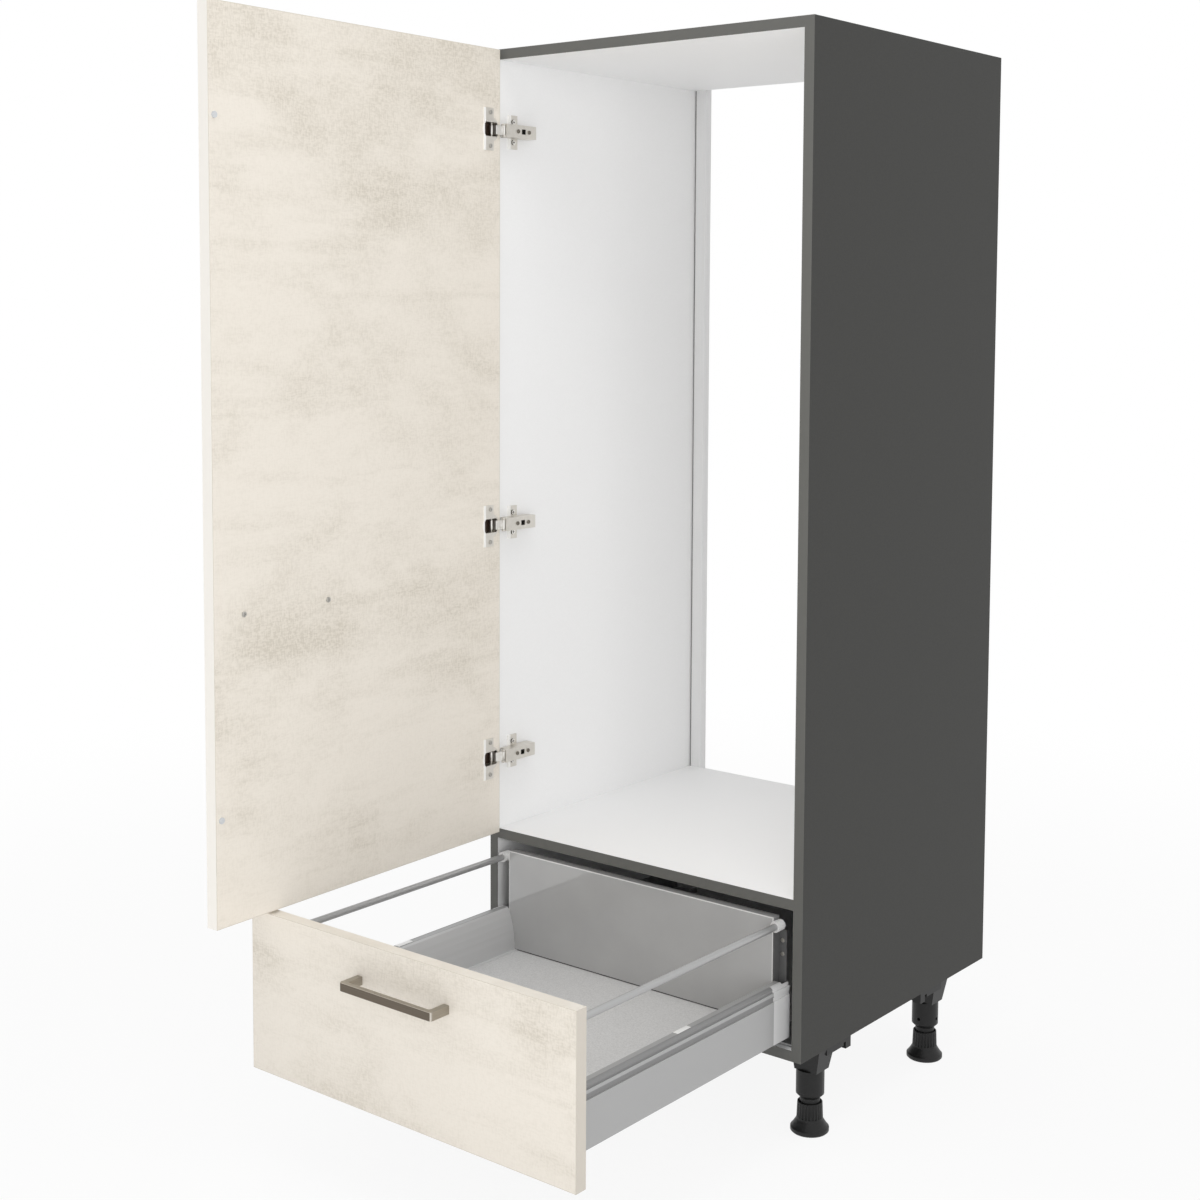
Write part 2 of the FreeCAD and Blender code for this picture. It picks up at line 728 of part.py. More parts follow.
def bow_handle(name, middle, level):
    """A bent flat bar: two legs on the front's outer face and a grip between them."""
    half_out = "(handle_spacing + handle_leg)/2"
    half_in = "(handle_spacing - handle_leg)/2"
    grip_back = "handle_bar - handle_projection"
    bar = prism(name + "_bar", "XY_Plane", [[
        (f"{middle} - {half_out}", "0"),
        (f"{middle} - {half_out}", "-handle_projection"),
        (f"{middle} + {half_out}", "-handle_projection"),
        (f"{middle} + {half_out}", "0"),
        (f"{middle} + {half_in}", "0"),
        (f"{middle} + {half_in}", grip_back),
        (f"{middle} - {half_in}", grip_back),
        (f"{middle} - {half_in}", "0"),
    ]], f"{level} - handle_height/2", "handle_height")
    touch = 1e-6

    def upright_at(y):
        return lambda edge: (len(edge.Vertexes) == 2
                             and all(abs(v.Y - y) < touch for v in edge.Vertexes)
                             and abs(edge.Vertexes[0].X - edge.Vertexes[1].X) < touch)

    def clear_of_front(edge):
        return len(edge.Vertexes) == 2 and not (
            all(abs(v.Y) < touch for v in edge.Vertexes)
            or abs(edge.Vertexes[0].Z - edge.Vertexes[1].Z) > touch)

    rounded(bar, upright_at(-sheet.handle_projection), "handle_corner")
    rounded(bar, upright_at(sheet.handle_bar - sheet.handle_projection), "handle_inner_corner")
    rounded(bar, clear_of_front, "handle_edge")
    depth = "handle_screw_grip + dowel_end_room"
    threads = [rod(f"{name}_thread_{i}", "Y", (x, f"-({depth})", level),
                   "handle_screw_radius + fit_clearance", depth)
               for i, x in handle_screw_places(middle)]
    return drilled(name, bar, threads)


def handle_screws(name, middle, level):
    return group(name, [
        screw(f"{name}_{i}", "Y", 1, (x, "front_thickness", level), "handle_screw_radius",
              "(front_thickness + handle_screw_grip)", "handle_screw_head")
        for i, x in handle_screw_places(middle)])


DOOR_HANDLE_X = f"({FRONT_EDGE} - door_handle_inset - handle_spacing/2)"
DOOR_HANDLE_Z = f"({DOOR_LOW} + door_handle_rise)"
DRAWER_HANDLE_Z = f"({DRAWER_FRONT_TOP} - drawer_handle_drop)"


def from_hinge_edge(inset):
    return f"({inset} - {FRONT_EDGE})"


def cup_screw_places():
    for name, level in HINGE_LEVELS.items():
        for sign in (-1, 1):
            yield f"{name}_{sign + 1}", f"{level} + {sign}*cup_screw_spacing/2"


def door():
    bores = handle_bores("door", DOOR_HANDLE_X, DOOR_HANDLE_Z)
    depth = "cup_depth + fit_clearance"
    for name, level in HINGE_LEVELS.items():
        bores.append(rod(f"door_cup_bore_{name}", "Y",
                         (from_hinge_edge("cup_centre_inset"), f"front_thickness - ({depth})", level),
                         "cup_radius + fit_clearance", depth))
    pilot = "(cup_screw_grip + dowel_end_room)"
    for name, z in cup_screw_places():
        bores.append(rod(f"door_cup_pilot_{name}", "Y",
                         (from_hinge_edge("cup_screw_inset"), f"front_thickness - {pilot}", z),
                         "cup_screw_radius + fit_clearance", pilot))
    core, bands = banded_front(DOOR_LOW, DOOR_HIGH, "door_panel", bores)
    on_door("door_panel", core)
    on_door("door_edge_bands", bands)
    on_door("door_handle", bow_handle("door_handle", DOOR_HANDLE_X, DOOR_HANDLE_Z))
    on_door("door_handle_screws", handle_screws("door_handle_screws", DOOR_HANDLE_X, DOOR_HANDLE_Z))
    bumpers = [rod(f"bumper_{i}", "Y", (f"{FRONT_EDGE} - bumper_inset", "front_thickness", z),
                   "bumper_radius", "front_gap - bumper_clearance")
               for i, z in enumerate((f"{DOOR_LOW} + bumper_end_distance",
                                      f"{DOOR_HIGH} - bumper_end_distance"))]
    on_door("door_bumpers", group("door_bumpers", bumpers))


# Concealed hinges: cup in the door, link, arm clipped on a mounting plate

MOUTH_FLOOR = "(front_thickness - cup_depth + cup_floor)"
LINK_ROOM = "(link_half_height + slide_clearance)"


def cup_mouth(label, level, inset, length):
    """The cup's eight-sided hollow, or what fills it up to a height over its floor."""
    reach = "(cup_radius - cup_wall)"
    wide = f"(sqrt({reach}*{reach} - {LINK_ROOM}*{LINK_ROOM}) - {inset})"
    middle = f"(sqrt({reach}*{reach} - cup_mouth_half_height*cup_mouth_half_height) - {inset})"
    low = f"({LINK_ROOM} - {inset})"
    high = f"(cup_mouth_half_height - {inset})"
    centre = from_hinge_edge("cup_centre_inset")
    half_ring = ((wide, low), (middle, high), (f"-{middle}", high), (f"-{wide}", low))
    ring = half_ring + tuple((across, f"-{up}") for across, up in reversed(half_ring))
    corners = [(f"{centre} + ({across})", f"{level} + ({up})") for across, up in ring]
    return prism(label, "XZ_Plane", [corners], MOUTH_FLOOR, length)


def hinge_cup(name, level):
    """A cup with a flange and a rim, which is cut away where the link swings over it."""
    label = f"hinge_cup_{name}"
    face = "front_thickness"
    centre = from_hinge_edge("cup_centre_inset")
    shell = rod(label + "_shell", "Y", (centre, f"{face} - cup_depth", level), "cup_radius", "cup_depth")
    flange = box(label + "_flange", (from_hinge_edge("flange_start"), face, f"{level} - flange_height/2"),
                 ("flange_end - flange_start", "flange_thickness", "flange_height"))
    rim = rod(label + "_rim", "Y", (centre, face, level), "cup_radius + flange_rim", "flange_thickness")
    rim_edge = from_hinge_edge("cup_centre_inset - cup_radius - flange_rim")
    gate = box(label + "_gate", (rim_edge, face, f"{level} - {LINK_ROOM}"),
               ("cup_radius + flange_rim", "flange_thickness", f"2*{LINK_ROOM}"))
    mouth = cup_mouth(label + "_mouth", level, "0", "cup_depth - cup_floor + flange_thickness")
    pin_hole = rod(label + "_pin_hole", "Z", (*CUP_PIN, f"{level} - {CUP_PIN_HALF}"),
                   "hinge_pin_radius + fit_clearance", f"2*{CUP_PIN_HALF}")
    holes = [rod(f"{label}_screw_hole_{sign + 1}", "Y",
                 (from_hinge_edge("cup_screw_inset"), face, f"{level} + {sign}*cup_screw_spacing/2"),
                 "cup_screw_radius + fit_clearance", "flange_thickness") for sign in (-1, 1)]
    blank = fused(label + "_blank", [shell, flange, rim])
    on_door(label, drilled(label, blank, [mouth, gate, pin_hole, *holes]))


def hinge_dampers():
    """A dark plastic damper plate lies on the floor of each cup."""
    plates = [cup_mouth(f"damper_{name}", level, "fit_clearance", "damper_thickness")
              for name, level in HINGE_LEVELS.items()]
    on_door("hinge_dampers", group("hinge_dampers", plates))


def hinge_pins():
    half_arm = "(rail_half_height + arm_gauge)"
    arm_pins = [rod(f"arm_pin_{name}", "Z", (*ARM_PIN, f"{level} - {half_arm}"), "hinge_pin_radius",
                    f"2*{half_arm}") for name, level in HINGE_LEVELS.items()]
    cup_pins = [rod(f"cup_pin_{name}", "Z", (*CUP_PIN, f"{level} - {CUP_PIN_HALF}"), "hinge_pin_radius",
                    f"2*{CUP_PIN_HALF}") for name, level in HINGE_LEVELS.items()]
    keep("hinge_arm_pins", group("hinge_arm_pins", arm_pins))
    on_door("hinge_cup_pins", group("hinge_cup_pins", cup_pins))


LINK_LENGTH = f"hypot({PIN_STEP[0]}; {PIN_STEP[1]})"
LINK_UNIT = tuple(f"(-{step}/{LINK_LENGTH})" for step in PIN_STEP)


def on_link_line(along, aside):
    """A point of the folded link, along the line from cup pin to arm pin and aside from it."""
    return (f"({CUP_PIN[0]} + {along}*{LINK_UNIT[0]} + {aside}*{LINK_UNIT[1]})",
            f"({CUP_PIN[1]} + {along}*{LINK_UNIT[1]} - {aside}*{LINK_UNIT[0]})")


def link_leaf(name, start, end, level):
    """One straight leaf of the bent link, as thick as the link and centred on its line."""
    run = tuple(f"({b} - {a})" for a, b in zip(start, end))
    leaf = doc.addObject("Part::Box", name)
    angle = f"atan2({run[1]}; {run[0]})"
    bind(leaf, "Length", f"hypot({run[0]}; {run[1]})")
    bind(leaf, "Width", "link_thickness")
    bind(leaf, "Height", "2*link_half_height")
    bind(leaf, "Placement.Rotation.Angle", angle)
    place(leaf, (f"{start[0]} + link_thickness/2*sin({angle})",
                 f"{start[1]} - link_thickness/2*cos({angle})",
                 f"{level} - link_half_height"))
    return leaf


def hinge_link(name, level):
    label = f"hinge_link_{name}"
    low = f"{level} - link_half_height"
    tall = "2*link_half_height"
    bend = on_link_line("link_bend_along", "link_bend_offset")
    blank = fused(label + "_blank", [
        link_leaf(label + "_cup_leaf", CUP_PIN, bend, level),
        link_leaf(label + "_arm_leaf", bend, ARM_PIN, level),
        rod(label + "_bend", "Z", (*bend, low), "link_thickness/2", tall),
        rod(label + "_cup_eye", "Z", (*CUP_PIN, low), "link_eye_radius", tall),
        rod(label + "_arm_eye", "Z", (*ARM_PIN, low), "link_eye_radius", tall),
    ])
    holes = [rod(f"{label}_{end}_hole", "Z", (*pin, low), "hinge_pin_radius + fit_clearance", tall)
             for end, pin in (("cup", CUP_PIN), ("arm", ARM_PIN))]
    on_links(label, drilled(label, blank, holes))


def off_side(rise):
    """X at a distance from the left side's inner face, into the niche."""
    return f"({rise} - {INNER})"


ARM_START = f"({FRONT} + arm_front)"


def hinge_plate(name, level):
    label = f"hinge_plate_{name}"
    wing = box(label + "_wing", (off_side("0"), f"{FRONT} + plate_screw_line - plate_wing_width/2",
                                 f"{level} - plate_wing_height/2"),
               ("plate_thickness", "plate_wing_width", "plate_wing_height"))
    rail = box(label + "_rail", (off_side("0"), f"{ARM_START} + arm_gauge", f"{level} - rail_half_height"),
               ("rail_rise", "arm_length - arm_gauge", "2*rail_half_height"))
    holes = [side_rod(f"{label}_hole_{sign + 1}", "left", f"{INNER} - plate_thickness", INNER,
                      f"{FRONT} + plate_screw_line", f"{level} + {sign}*plate_screw_spacing/2",
                      "plate_screw_radius + fit_clearance") for sign in (-1, 1)]
    return drilled(label, fused(label + "_blank", [wing, rail]), holes)


def arm_screw_places():
    for i in range(2):
        yield i, f"({FRONT} + arm_screw_front + {i}*arm_screw_pitch)"


def hinge_arm(name, level):
    """A channel over the plate's rail, with two lugs at its nose that hold the arm pin."""
    label = f"hinge_arm_{name}"
    half = "(rail_half_height + arm_gauge)"
    lug_tall = f"({half} - {LINK_ROOM})"
    pieces = [box(label + "_top", (off_side("arm_rise - arm_gauge"), ARM_PIN[1], f"{level} - {half}"),
                  ("arm_gauge", "arm_pin_lead + arm_front + arm_length", f"2*{half}"))]
    for sign, cheek_low, lug_low in ((-1, f"{level} - {half}", f"{level} - {half}"),
                                     (1, f"{level} + rail_half_height", f"{level} + {LINK_ROOM}")):
        pieces.append(box(f"{label}_cheek_{sign + 1}",
                          (off_side("plate_thickness"), f"{ARM_START} + arm_gauge", cheek_low),
                          ("arm_rise - plate_thickness", "arm_length - arm_gauge", "arm_gauge")))
        pieces.append(box(f"{label}_lug_{sign + 1}",
                          (off_side("arm_pin_inset - arm_lug_radius"), ARM_PIN[1], lug_low),
                          ("arm_rise - arm_pin_inset + arm_lug_radius", "arm_pin_lead + 2*arm_gauge",
                           lug_tall)))
        pieces.append(rod(f"{label}_nose_{sign + 1}", "Z", (*ARM_PIN, lug_low), "arm_lug_radius", lug_tall))
    bores = [rod(label + "_pin_hole", "Z", (*ARM_PIN, f"{level} - {half}"),
                 "hinge_pin_radius + fit_clearance", f"2*{half}")]
    for i, y in arm_screw_places():
        bores.append(side_rod(f"{label}_screw_hole_{i}", "left", f"{INNER} - arm_rise",
                              f"{INNER} - arm_rise + arm_gauge", y, level,
                              "arm_screw_radius + fit_clearance"))
    bores.append(box(label + "_window",
                     (off_side("arm_rise - arm_gauge"),
                      f"{FRONT} + arm_screw_front + (arm_screw_pitch - arm_window_length)/2",
                      f"{level} - arm_window_height/2"),
                     ("arm_gauge", "arm_window_length", "arm_window_height")))
    keep(label, drilled(label, fused(label + "_blank", pieces), bores))


def hinge_screws():
    plate_screws = [screw(f"plate_screw_{name}", "X", 1, (off_side("plate_thickness"), y, z),
                          "plate_screw_radius", "plate_screw_grip", "plate_screw_head")
                    for name, y, z in hinge_plate_screw_places()]
    keep("hinge_plate_screws", group("hinge_plate_screws", plate_screws))
    arm_screws = [screw(f"arm_screw_{name}_{i}", "X", 1, (off_side("arm_rise"), y, level),
                        "arm_screw_radius", "arm_rise - rail_rise", "arm_screw_head")
                  for name, level in HINGE_LEVELS.items() for i, y in arm_screw_places()]
    keep("hinge_arm_screws", group("hinge_arm_screws", arm_screws))
    cup_screws = [screw(f"cup_screw_{name}", "Y", 1,
                        (from_hinge_edge("cup_screw_inset"), "(front_thickness + flange_thickness)", z),
                        "cup_screw_radius", "(cup_screw_grip + flange_thickness)", "cup_screw_head")
                  for name, z in cup_screw_places()]
    on_door("hinge_cup_screws", group("hinge_cup_screws", cup_screws))


# Drawer: board floor and back, double-walled steel sides, a railing over each side

def drawer_front():
    bores = handle_bores("drawer", "0", DRAWER_HANDLE_Z)
    core, bands = banded_front("foot_height", DRAWER_FRONT_TOP, "drawer_front", bores)
    on_drawer("drawer_front", core)
    on_drawer("drawer_front_edge_bands", bands)
    on_drawer("drawer_handle", bow_handle("drawer_handle", "0", DRAWER_HANDLE_Z))
    on_drawer("drawer_handle_screws", handle_screws("drawer_handle_screws", "0", DRAWER_HANDLE_Z))


def drawer_side(side):
    """One bent sheet: outer wall, groove and bead, top ledge, inner wall curving in to its foot."""
    label = f"drawer_side_{side}"
    low = "(foot_height + side_drop)"
    shoulder = "(foot_height + side_shoulder)"
    top = "(foot_height + side_top)"
    upper = f"({SIDE_OUTER} - side_step)"
    foot = f"({SIDE_INNER} - side_lean)"
    wall_top = f"({top} - side_bevel)"
    wall_low = f"({DRAWER_FLOOR} + steel_gauge)"
    wall = []
    for i in range(SIDE_WALL_CHORDS + 1):
        down = i / SIDE_WALL_CHORDS
        lean = 1 - (1 - down) ** 2
        x = f"({SIDE_INNER} - side_lean*{lean:.4f})"
        z = f"({wall_top} - ({wall_top} - {wall_low})*{down:.4f})"
        wall.append((x, z))
    groove = f"({SIDE_OUTER} - side_groove_depth)"
    groove_top = f"({shoulder} + side_groove_height)"
    bead = f"({SIDE_OUTER} - side_bead_depth)"
    bead_top = f"({groove_top} + side_bead_height)"
    corners = [
        (SIDE_OUTER, low),
        (SIDE_OUTER, shoulder),
        (groove, shoulder),
        (groove, groove_top),
        (bead, groove_top),
        (bead, bead_top),
        (upper, bead_top),
        (upper, wall_top),
        (f"{upper} - side_bevel", top),
        (f"{SIDE_INNER} + side_bevel", top),
        *wall,
        (f"{foot} - side_foot_width", wall_low),
        (f"{foot} - side_foot_width", DRAWER_FLOOR),
        (f"{foot} + steel_gauge", DRAWER_FLOOR),
        *[(f"{x} + steel_gauge", z) for x, z in reversed(wall[:-1])],
        (f"{SIDE_INNER} + side_bevel", f"{top} - steel_gauge"),
        (f"{upper} - side_bevel", f"{top} - steel_gauge"),
        (f"{upper} - steel_gauge", wall_top),
        (f"{upper} - steel_gauge", f"{bead_top} - steel_gauge"),
        (f"{bead} - steel_gauge", f"{bead_top} - steel_gauge"),
        (f"{bead} - steel_gauge", f"{groove_top} + steel_gauge"),
        (f"{groove} - steel_gauge", f"{groove_top} + steel_gauge"),
        (f"{groove} - steel_gauge", f"{shoulder} - steel_gauge"),
        (f"{SIDE_OUTER} - steel_gauge", f"{shoulder} - steel_gauge"),
        (f"{SIDE_OUTER} - steel_gauge", low),
    ]
    sheet_steel = prism(label + "_sheet", "XZ_Plane", [[(mirrored(side, x), z) for x, z in corners]],
                        "front_thickness", SIDE_LENGTH)
    notch = slab(label + "_notch", side, f"{foot} - side_foot_width", f"{upper} - steel_gauge",
                 (BACK_FRONT, low), ("board_thickness", "side_top"))
    on_drawer(label, drilled(label, sheet_steel, [notch]))


def drawer_boards():
    on_drawer("drawer_bottom", group("drawer_bottom", [
        box("drawer_bottom_board", (f"-{BOARD_EDGE}", "front_thickness", "foot_height + side_drop"),
            (f"2*{BOARD_EDGE}", SIDE_LENGTH, "board_thickness"))]))
    on_drawer("drawer_back", group("drawer_back", [
        box("drawer_back_board", (f"-{SIDE_INNER}", BACK_FRONT, DRAWER_FLOOR),
            (f"2*{SIDE_INNER}", "board_thickness", "back_height"))]))


def railing(side):
    """A steel tube, seated in a holder on the front and in a clamp on the back board."""
    x = mirrored(side, RAILING_X)
    front_end = "(front_thickness + holder_seat)"
    tube = rod(f"railing_{side}_outside", "Y", (x, front_end, RAILING_Z), "railing_radius",
               f"{BACK_FRONT} - {front_end}")
    bore = rod(f"railing_{side}_inside", "Y", (x, front_end, RAILING_Z), "railing_radius - railing_wall",
               f"{BACK_FRONT} - {front_end}")
    on_drawer(f"railing_{side}", drilled(f"railing_{side}", tube, [bore]))


def railing_fittings():
    holders = []
    clamps = []
    for side in ("left", "right"):
        x = mirrored(side, RAILING_X)
        boss = rod(f"holder_{side}_boss", "Y", (x, "front_thickness", RAILING_Z), "holder_radius",
                   "holder_length")
        seat = rod(f"holder_{side}_seat", "Y", (x, "front_thickness + holder_seat", RAILING_Z),
                   "railing_radius + fit_clearance", "holder_length - holder_seat")
        holders.append(drilled(f"holder_{side}", boss, [seat]))
        clamp_front = f"({BACK_FRONT} - clamp_length/2)"
        knob = rod(f"clamp_{side}_knob", "Y", (x, clamp_front, RAILING_Z), "holder_radius", "clamp_length")
        foot = slab(f"clamp_{side}_foot", side, SIDE_INNER, RAILING_X,
                    (BACK_FRONT, f"{RAILING_Z} - railing_radius"),
                    ("clamp_length/2", "2*railing_radius"))
        pocket = rod(f"clamp_{side}_pocket", "Y", (x, clamp_front, RAILING_Z),
                     "railing_radius + fit_clearance", "clamp_length/2")
        clamps.append(drilled(f"clamp_{side}", fused(f"clamp_{side}_blank", [knob, foot]), [pocket]))
    on_drawer("railing_holders", group("railing_holders", holders))
    on_drawer("railing_clamps", group("railing_clamps", clamps))


def drawer_brackets():
    front_brackets = []
    back_brackets = []
    screws = []
    for side in ("left", "right"):
        wall = f"({SIDE_OUTER} - steel_gauge)"
        low = "(foot_height + front_bracket_low)"
        tall = "front_bracket_high - front_bracket_low"
        plate = slab(f"front_bracket_{side}_plate", side, f"{wall} - front_bracket_width", wall,
                     ("front_thickness", low), ("bracket_gauge", tall))
        tongue = slab(f"front_bracket_{side}_tongue", side, f"{wall} - bracket_gauge", wall,
                      ("front_thickness", low), ("front_bracket_length", tall))
        front_brackets.append(fused(f"front_bracket_{side}", [plate, tongue]))
        high = "(foot_height + bracket_top)"
        edge_flange = slab(f"back_bracket_{side}_flange", side, SIDE_INNER, f"{SIDE_INNER} + bracket_gauge",
                           (BACK_FRONT, DRAWER_FLOOR), ("board_thickness", f"{high} - {DRAWER_FLOOR}"))
        web_front = f"({DRAWER_REAR} - bracket_gauge)"
        web = slab(f"back_bracket_{side}_web", side, SIDE_INNER, f"{SIDE_INNER} + bracket_width",
                   (web_front, DRAWER_FLOOR), ("bracket_gauge", f"{high} - {DRAWER_FLOOR}"))
        holes = []
        x = mirrored(side, f"{SIDE_INNER} + (bracket_gauge + bracket_width)/2")
        for i in range(2):
            z = f"(foot_height + bracket_screw_high - {i}*bracket_screw_pitch)"
            holes.append(rod(f"back_bracket_{side}_hole_{i}", "Y", (x, web_front, z),
                             "bracket_screw_radius + fit_clearance", "bracket_gauge"))
            screws.append(screw(f"back_bracket_{side}_screw_{i}", "Y", -1, (x, web_front, z),
                                "bracket_screw_radius", "3*bracket_gauge", "bracket_screw_head"))
        back_brackets.append(drilled(f"back_bracket_{side}",
                                     fused(f"back_bracket_{side}_blank", [edge_flange, web]), holes))
    on_drawer("drawer_front_brackets", group("drawer_front_brackets", front_brackets))
    on_drawer("drawer_back_brackets", group("drawer_back_brackets", back_brackets))
    on_drawer("back_bracket_screws", group("back_bracket_screws", screws))


# Runners: a rail on the carcass, a middle member and a member under the drawer

def cabinet_rail(side):
    label = f"cabinet_rail_{side}"
    floor = RUNNER_FLOOR
    corners = [
        (INNER, floor),
        (INNER, f"{floor} + runner_wall_height"),
        (f"{INNER} - runner_gauge", f"{floor} + runner_wall_height"),
        (f"{INNER} - runner_gauge", f"{floor} + runner_gauge"),
        (f"{INNER} - runner_width + runner_gauge", f"{floor} + runner_gauge"),
        (f"{INNER} - runner_width + runner_gauge", f"{floor} + runner_lip"),
        (f"{INNER} - runner_width", f"{floor} + runner_lip"),
        (f"{INNER} - runner_width", floor),
    ]
    rail = prism(label + "_profile", "XZ_Plane", [[(mirrored(side, x), z) for x, z in corners]],
                 RUNNER_FRONT, RUNNER_LENGTH)
    holes = [side_rod(f"{label}_hole_{i}", side, f"{INNER} - runner_gauge", INNER, y, RUNNER_SCREW_Z,
                      "runner_screw_radius + fit_clearance") for i, y in runner_screw_places()]
    keep(label, drilled(label, rail, holes))


def cabinet_rail_screws():
    screws = []
    for side, head_side in (("left", 1), ("right", -1)):
        for i, y in runner_screw_places():
            seat = (mirrored(side, f"{INNER} - runner_gauge"), y, RUNNER_SCREW_Z)
            screws.append(screw(f"rail_screw_{side}_{i}", "X", head_side, seat, "runner_screw_radius",
                                "runner_screw_grip", "runner_screw_head"))
    keep("cabinet_rail_screws", group("cabinet_rail_screws", screws))


def tube_loops(side, outer, low, wide, tall, wall):
    inner = f"({outer} - {wide})"
    rings = []
    for inset in ("0", wall):
        rings.append([(mirrored(side, x), z) for x, z in (
            (f"{outer} - {inset}", f"{low} + {inset}"),
            (f"{outer} - {inset}", f"{low} + {tall} - {inset}"),
            (f"{inner} + {inset}", f"{low} + {tall} - {inset}"),
            (f"{inner} + {inset}", f"{low} + {inset}"))])
    return rings


def middle_member(side):
    label = f"runner_member_{side}"
    loops = tube_loops(side, MEMBER_OUTER, MEMBER_LOW, "member_width", "member_height", "member_wall")
    member = prism(label, "XZ_Plane", loops, RUNNER_FRONT, f"{RUNNER_LENGTH} - runner_setback")
    on_drawer(label, member, share=0.5)


def drawer_member(side):
    """A channel on the middle member, with a flange that holds the drawer floor's edge."""
    label = f"drawer_rail_{side}"
    low = DRAWER_MEMBER_LOW
    high = f"({low} + drawer_member_height)"
    inner = f"({MEMBER_OUTER} - member_width)"
    corners = [
        (MEMBER_OUTER, low),
        (MEMBER_OUTER, high),
        (BOARD_EDGE, high),
        (BOARD_EDGE, f"{high} - member_wall"),
        (inner, f"{high} - member_wall"),
        (inner, low),
        (f"{inner} + member_wall", low),
        (f"{inner} + member_wall", f"{high} - member_wall"),
        (f"{MEMBER_OUTER} - member_wall", f"{high} - member_wall"),
        (f"{MEMBER_OUTER} - member_wall", low),
    ]
    rail = prism(label, "XZ_Plane", [[(mirrored(side, x), z) for x, z in corners]],
                 "front_thickness", f"{BACK_FRONT} + runner_end_step - front_thickness")
    on_drawer(label, rail)


for side in ("left", "right"):
    side_panel(side)
    rear_strip(side)
    cabinet_rail(side)
    middle_member(side)
    drawer_member(side)
    drawer_side(side)
    railing(side)
for label in CROSS_PANEL_LEVELS:
    cross_panel(label)
carcass_dowels()
drawer_compartment_back()
keep("foot_sockets", group("foot_sockets", [foot_socket(foot) for foot in FEET]))
foot_socket_screws()
keep("foot_sleeves", group("foot_sleeves", [foot_sleeve(foot) for foot in FEET]))
for foot in FEET:
    foot_adjuster(foot)
door()
for name, level in HINGE_LEVELS.items():
    hinge_cup(name, level)
    hinge_link(name, level)
    hinge_arm(name, level)
keep("hinge_plates", group("hinge_plates", [hinge_plate(*spot) for spot in HINGE_LEVELS.items()]))
hinge_dampers()
hinge_pins()
hinge_screws()
drawer_front()
drawer_boards()
railing_fittings()
drawer_brackets()
cabinet_rail_screws()

doc.recompute()
failed = [thing.Label for thing in doc.Objects if {"Invalid", "Error"} & set(thing.State)]
failed += [label for label, piece in parts.items() if piece.Shape.isNull() or not piece.Shape.isValid()]
if failed:
    raise RuntimeError("these objects failed: " + ", ".join(failed))

os.makedirs("parts", exist_ok=True)
for label, piece in sorted(parts.items()):
    piece.Shape.exportStep(f"parts/{label}.step")
    print(f"{label}: {len(piece.Shape.Solids)} solid(s), {piece.Shape.Volume / 1000:.1f} cm3")
print(len(parts), "nodes")
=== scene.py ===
# %% [markdown]
# # A fridge housing unit
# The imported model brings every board, hinge, runner and foot of a tall kitchen cabinet, each at its place.
# Here it gets its looks: a finish for every surface, the small shapes that a plain solid leaves out,
# soft studio light, and a camera where the photographer stood.
# The model is in metres. X runs across the front, Y goes to the back, and Z is up.

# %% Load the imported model
import math

import bpy
from mathutils import Euler, Matrix, Vector


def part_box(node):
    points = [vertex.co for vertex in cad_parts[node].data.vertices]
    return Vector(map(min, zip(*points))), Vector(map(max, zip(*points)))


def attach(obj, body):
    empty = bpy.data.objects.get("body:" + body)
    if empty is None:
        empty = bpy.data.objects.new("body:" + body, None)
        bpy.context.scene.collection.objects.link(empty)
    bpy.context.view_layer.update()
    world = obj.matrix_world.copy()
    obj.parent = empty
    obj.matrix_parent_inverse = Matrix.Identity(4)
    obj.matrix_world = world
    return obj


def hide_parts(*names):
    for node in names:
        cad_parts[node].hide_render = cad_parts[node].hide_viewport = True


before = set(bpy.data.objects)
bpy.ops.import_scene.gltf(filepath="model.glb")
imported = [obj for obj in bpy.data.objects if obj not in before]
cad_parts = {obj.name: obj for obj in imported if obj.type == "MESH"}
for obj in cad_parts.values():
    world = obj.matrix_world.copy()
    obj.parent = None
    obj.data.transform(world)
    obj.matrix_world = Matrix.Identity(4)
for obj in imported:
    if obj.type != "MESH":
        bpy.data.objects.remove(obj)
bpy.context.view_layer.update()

MM = 0.001

# %% [markdown]
# ## Tools for finishes
# A colour picked on a screen is an sRGB code, while Blender's sockets hold linear light, so one function
# turns the first into the second. Another adds a node, sets it up and links it in one line.
# A pattern's scale is the number of its features in a metre, so it comes from one feature's size.

# %% Colours, nodes and pattern sizes
def linear(code):
    """Linear RGBA for an sRGB hex code."""
    shares = [int(code[i:i + 2], 16) / 255 for i in (1, 3, 5)]
    return [s / 12.92 if s <= 0.04045 else ((s + 0.055) / 1.055) ** 2.4 for s in shares] + [1.0]


def node(tree, kind, links=None, values=None, stops=None, **settings):
    """Adds a node, with its settings, its sockets' values, its links and a ramp's colour stops."""
    made = tree.nodes.new(kind)
    for name, value in settings.items():
        setattr(made, name, value)
    for socket, value in (values or {}).items():
        made.inputs[socket].default_value = value
    for socket, source in (links or {}).items():
        tree.links.new(source, made.inputs[socket])
    if stops:
        elements = made.color_ramp.elements
        while len(elements) < len(stops):
            elements.new(1.0)
        for element, (position, code) in zip(elements, stops):
            element.position, element.color = position, linear(code)
    return made


def per(size):
    """Texture scale for features of that many millimetres."""
    return 1 / (size * MM)


print("#808080 in linear light:", round(linear("#808080")[0], 3), "and the scale of 2 mm marks:", per(2.0))

# %% [markdown]
# ## Starting and painting a finish
# Each finish starts as a Principled shader with its own values, and reads Object coordinates, which stay
# with the mesh when a piece moves. A helper paints over it where a coordinate passes a level, which saves
# cutting up a mesh, and another one gives it to nodes of the model.

